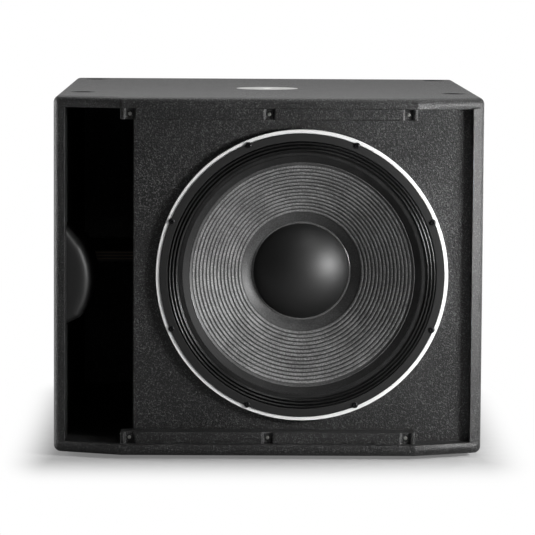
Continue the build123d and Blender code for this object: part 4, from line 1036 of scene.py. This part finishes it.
# the body behind the plate: its first end, the middle surface, is left open to the plate
sides, _, end = slab(body, 1.5, [(0, 0.0), (0, 0.4 - inlet["depth"]), (0.4, -inlet["depth"])], onTray)
addPiece("power_inlet_shell", surfaces + [sides, end], "mouldedBlack", replaces=["power_inlet"],
         slot="connector_moulding")
tip = inlet["bladeTip"]
blades = []
for across, up in ((-7, -1.2), (0, 1.2), (7, -1.2)):
    blades += slab(rectangle(*inlet["blade"], (x + across, y + up)), 0.3,
                   [(0, inlet["floor"] - 0.2), (0, tip - 0.6), (0.25, tip - 0.1), (0.6, tip)], onTray, (), 3)
addPiece("inlet_blades", blades, "nickel", slot="latch_metal")
inletSpots = [onTray(x + s * inlet["screwX"], y, plate) for s in (-1, 1)]
addScrews("inlet_screws", "inlet", inletSpots, rearwards, "blackOxide", slot="black_screw")
print("amplifier made")


# ---- floor, light and camera

scene = bpy.context.scene
floorMesh = bpy.data.meshes.new("studio_floor")
floorMesh.from_pydata([(-30, -30, 0), (30, -30, 0), (30, 30, 0), (-30, 30, 0)], [], [(0, 1, 2, 3)])
floor = bpy.data.objects.new("studio_floor", floorMesh)
scene.collection.objects.link(floor)
# matt pale paper. Away from the object it is seen at full white, sooner at its sides than in front;
# near it the paper is lit as it lies, so it keeps the shadow
studio = dict(fade=(-0.45, 1.0), reach={"X": 0.09, "Y": 0.26}, ambient=0.12, backdrop=0.55, room=0.04)
paper, tree, shader, coords = newMaterial("whitePaper")
tint(tree, shader, noise(tree, coords, 25), {0.3: "#9a9a9a", 0.7: "#a2a2a2"})
shader.inputs["Roughness"].default_value = 0.9
place = addNode(tree, "SeparateXYZ", None, {0: coords})
squares = []
for axis, size in (("X", sideX * mm), ("Y", rearY * mm)):  # how far beyond the cabinet's side and front
    beyond = calc(tree, "SUBTRACT", calc(tree, "ABSOLUTE", place.outputs[axis]), size)
    distance = calc(tree, "MAXIMUM", calc(tree, "DIVIDE", beyond, studio["reach"][axis]), 0.0)
    squares.append(calc(tree, "MULTIPLY", distance, distance))
distance = calc(tree, "SQRT", calc(tree, "ADD", *squares))
fade = remap(tree, distance, *studio["fade"], interpolation_type="SMOOTHERSTEP")


def lookedAt(tree):  # 1 for rays straight from the camera or through glass, and the light path's node
    path = addNode(tree, "LightPath")
    return calc(tree, "MAXIMUM", path.outputs["Is Camera Ray"], path.outputs["Is Transmission Ray"]), path


def mixed(tree, share, first, second):
    return addNode(tree, "MixShader", None, {0: share, 1: first, 2: second}).outputs[0]


def shining(tree, kind, strength):  # white light of a plain strength
    return addNode(tree, kind, None, {"Color": linear("#ffffff"), "Strength": strength}).outputs[0]


share = calc(tree, "MULTIPLY", lookedAt(tree)[0], fade)
output = next(node for node in tree.nodes if node.type == "OUTPUT_MATERIAL")
tree.links.new(mixed(tree, share, shader.outputs[0], shining(tree, "Emission", 1.0)),
               output.inputs["Surface"])
floorMesh.materials.append(paper)

world = bpy.data.worlds.new("studio")
scene.world = world
world.use_nodes = True
tree = world.node_tree
tree.nodes.clear()
# the backdrop is white wherever it is seen, also in a reflection; the room in front of the object is dim
seen, path = lookedAt(tree)
generated = addNode(tree, "TexCoord").outputs["Generated"]
direction = addNode(tree, "SeparateXYZ", None, {0: generated}).outputs["Y"]
backdrop = remap(tree, direction, -0.25, 0.45, studio["room"], studio["backdrop"],
                 interpolation_type="SMOOTHSTEP")
ambient, mirrored, white = (shining(tree, "Background", strength)
                            for strength in (studio["ambient"], backdrop, 1.0))
lit = mixed(tree, path.outputs["Is Glossy Ray"], ambient, mirrored)
addNode(tree, "OutputWorld", None, {"Surface": mixed(tree, seen, lit, white)})


def axesAlong(aim):  # three unit vectors for something that looks along aim, with its top up
    aim = np.array(aim, float) / np.linalg.norm(aim)
    across = np.cross(aim, upwards if abs(aim[2]) < 0.98 else rearwards)
    across /= np.linalg.norm(across)
    return across, np.cross(across, aim), aim


def placed(thing, place, across, upward, aim):
    matrix = np.eye(4)
    matrix[:3] = np.column_stack([across, upward, -np.array(aim), place])
    thing.matrix_world = Matrix(matrix.tolist())
    scene.collection.objects.link(thing)


softboxes = {
    # near, from the right, no higher than the top panel
    "key": dict(place=(1.0, -0.92, 0.46), aim=(-0.1, -0.33, 0.3), size=(0.34, 0.21), watts=21),
    "over": dict(place=(0.45, -0.72, 1.3), aim=(0.05, -0.33, 0.3), size=(0.5, 0.25), watts=3.2),
    "above": dict(place=(0, 0.3, 1.6), aim=(0, 0, 0.5), size=(1.6, 0.8), watts=11),
    "left": dict(place=(-2.2, 0.2, 0.5), aim=(0, 0, 0.3), size=(0.8, 1.0), watts=36),
    "right": dict(place=(2.4, 0.5, 0.5), aim=(0, 0.1, 0.3), size=(0.8, 1.0), watts=16),
    # lower than the top, which it must not graze
    "behind": dict(place=(1.3, 2.3, 0.45), aim=(0, 0.3, 0.3), size=(1.2, 0.7), watts=24),
    "front": dict(place=(0, -4.0, 1.6), aim=(0, -0.37, 0.3), size=(1.5, 1.0), watts=2.5),
}
for name, spec in softboxes.items():
    light = bpy.data.lights.new(name, "AREA")
    light.shape = "RECTANGLE"
    light.size, light.size_y = spec["size"]
    light.energy = spec["watts"]
    placed(bpy.data.objects.new(name, light), spec["place"],
           *axesAlong(np.subtract(spec["aim"], spec["place"])))

# angles in degrees; the focal length is for a frame as wide as given
view = dict(place=(-0.0608, -5.32, 0.796), yaw=0.683, pitch=5.675, roll=0.34, focal=3190, width=535,
            sensor=36)
yaw, pitch, roll = np.radians([view["yaw"], view["pitch"], view["roll"]])
across, upward, aim = axesAlong((np.sin(yaw) * np.cos(pitch), np.cos(yaw) * np.cos(pitch), -np.sin(pitch)))
camera = bpy.data.objects.new("camera", bpy.data.cameras.new("camera"))
placed(camera, view["place"], across * np.cos(roll) + upward * np.sin(roll),
       upward * np.cos(roll) - across * np.sin(roll), aim)
camera.data.sensor_width = view["sensor"]
camera.data.lens = view["focal"] / view["width"] * view["sensor"]
camera.data.clip_end = 100
scene.camera = camera
scene.view_settings.view_transform = "Standard"

bpy.context.view_layer.update()
print("scene finished")
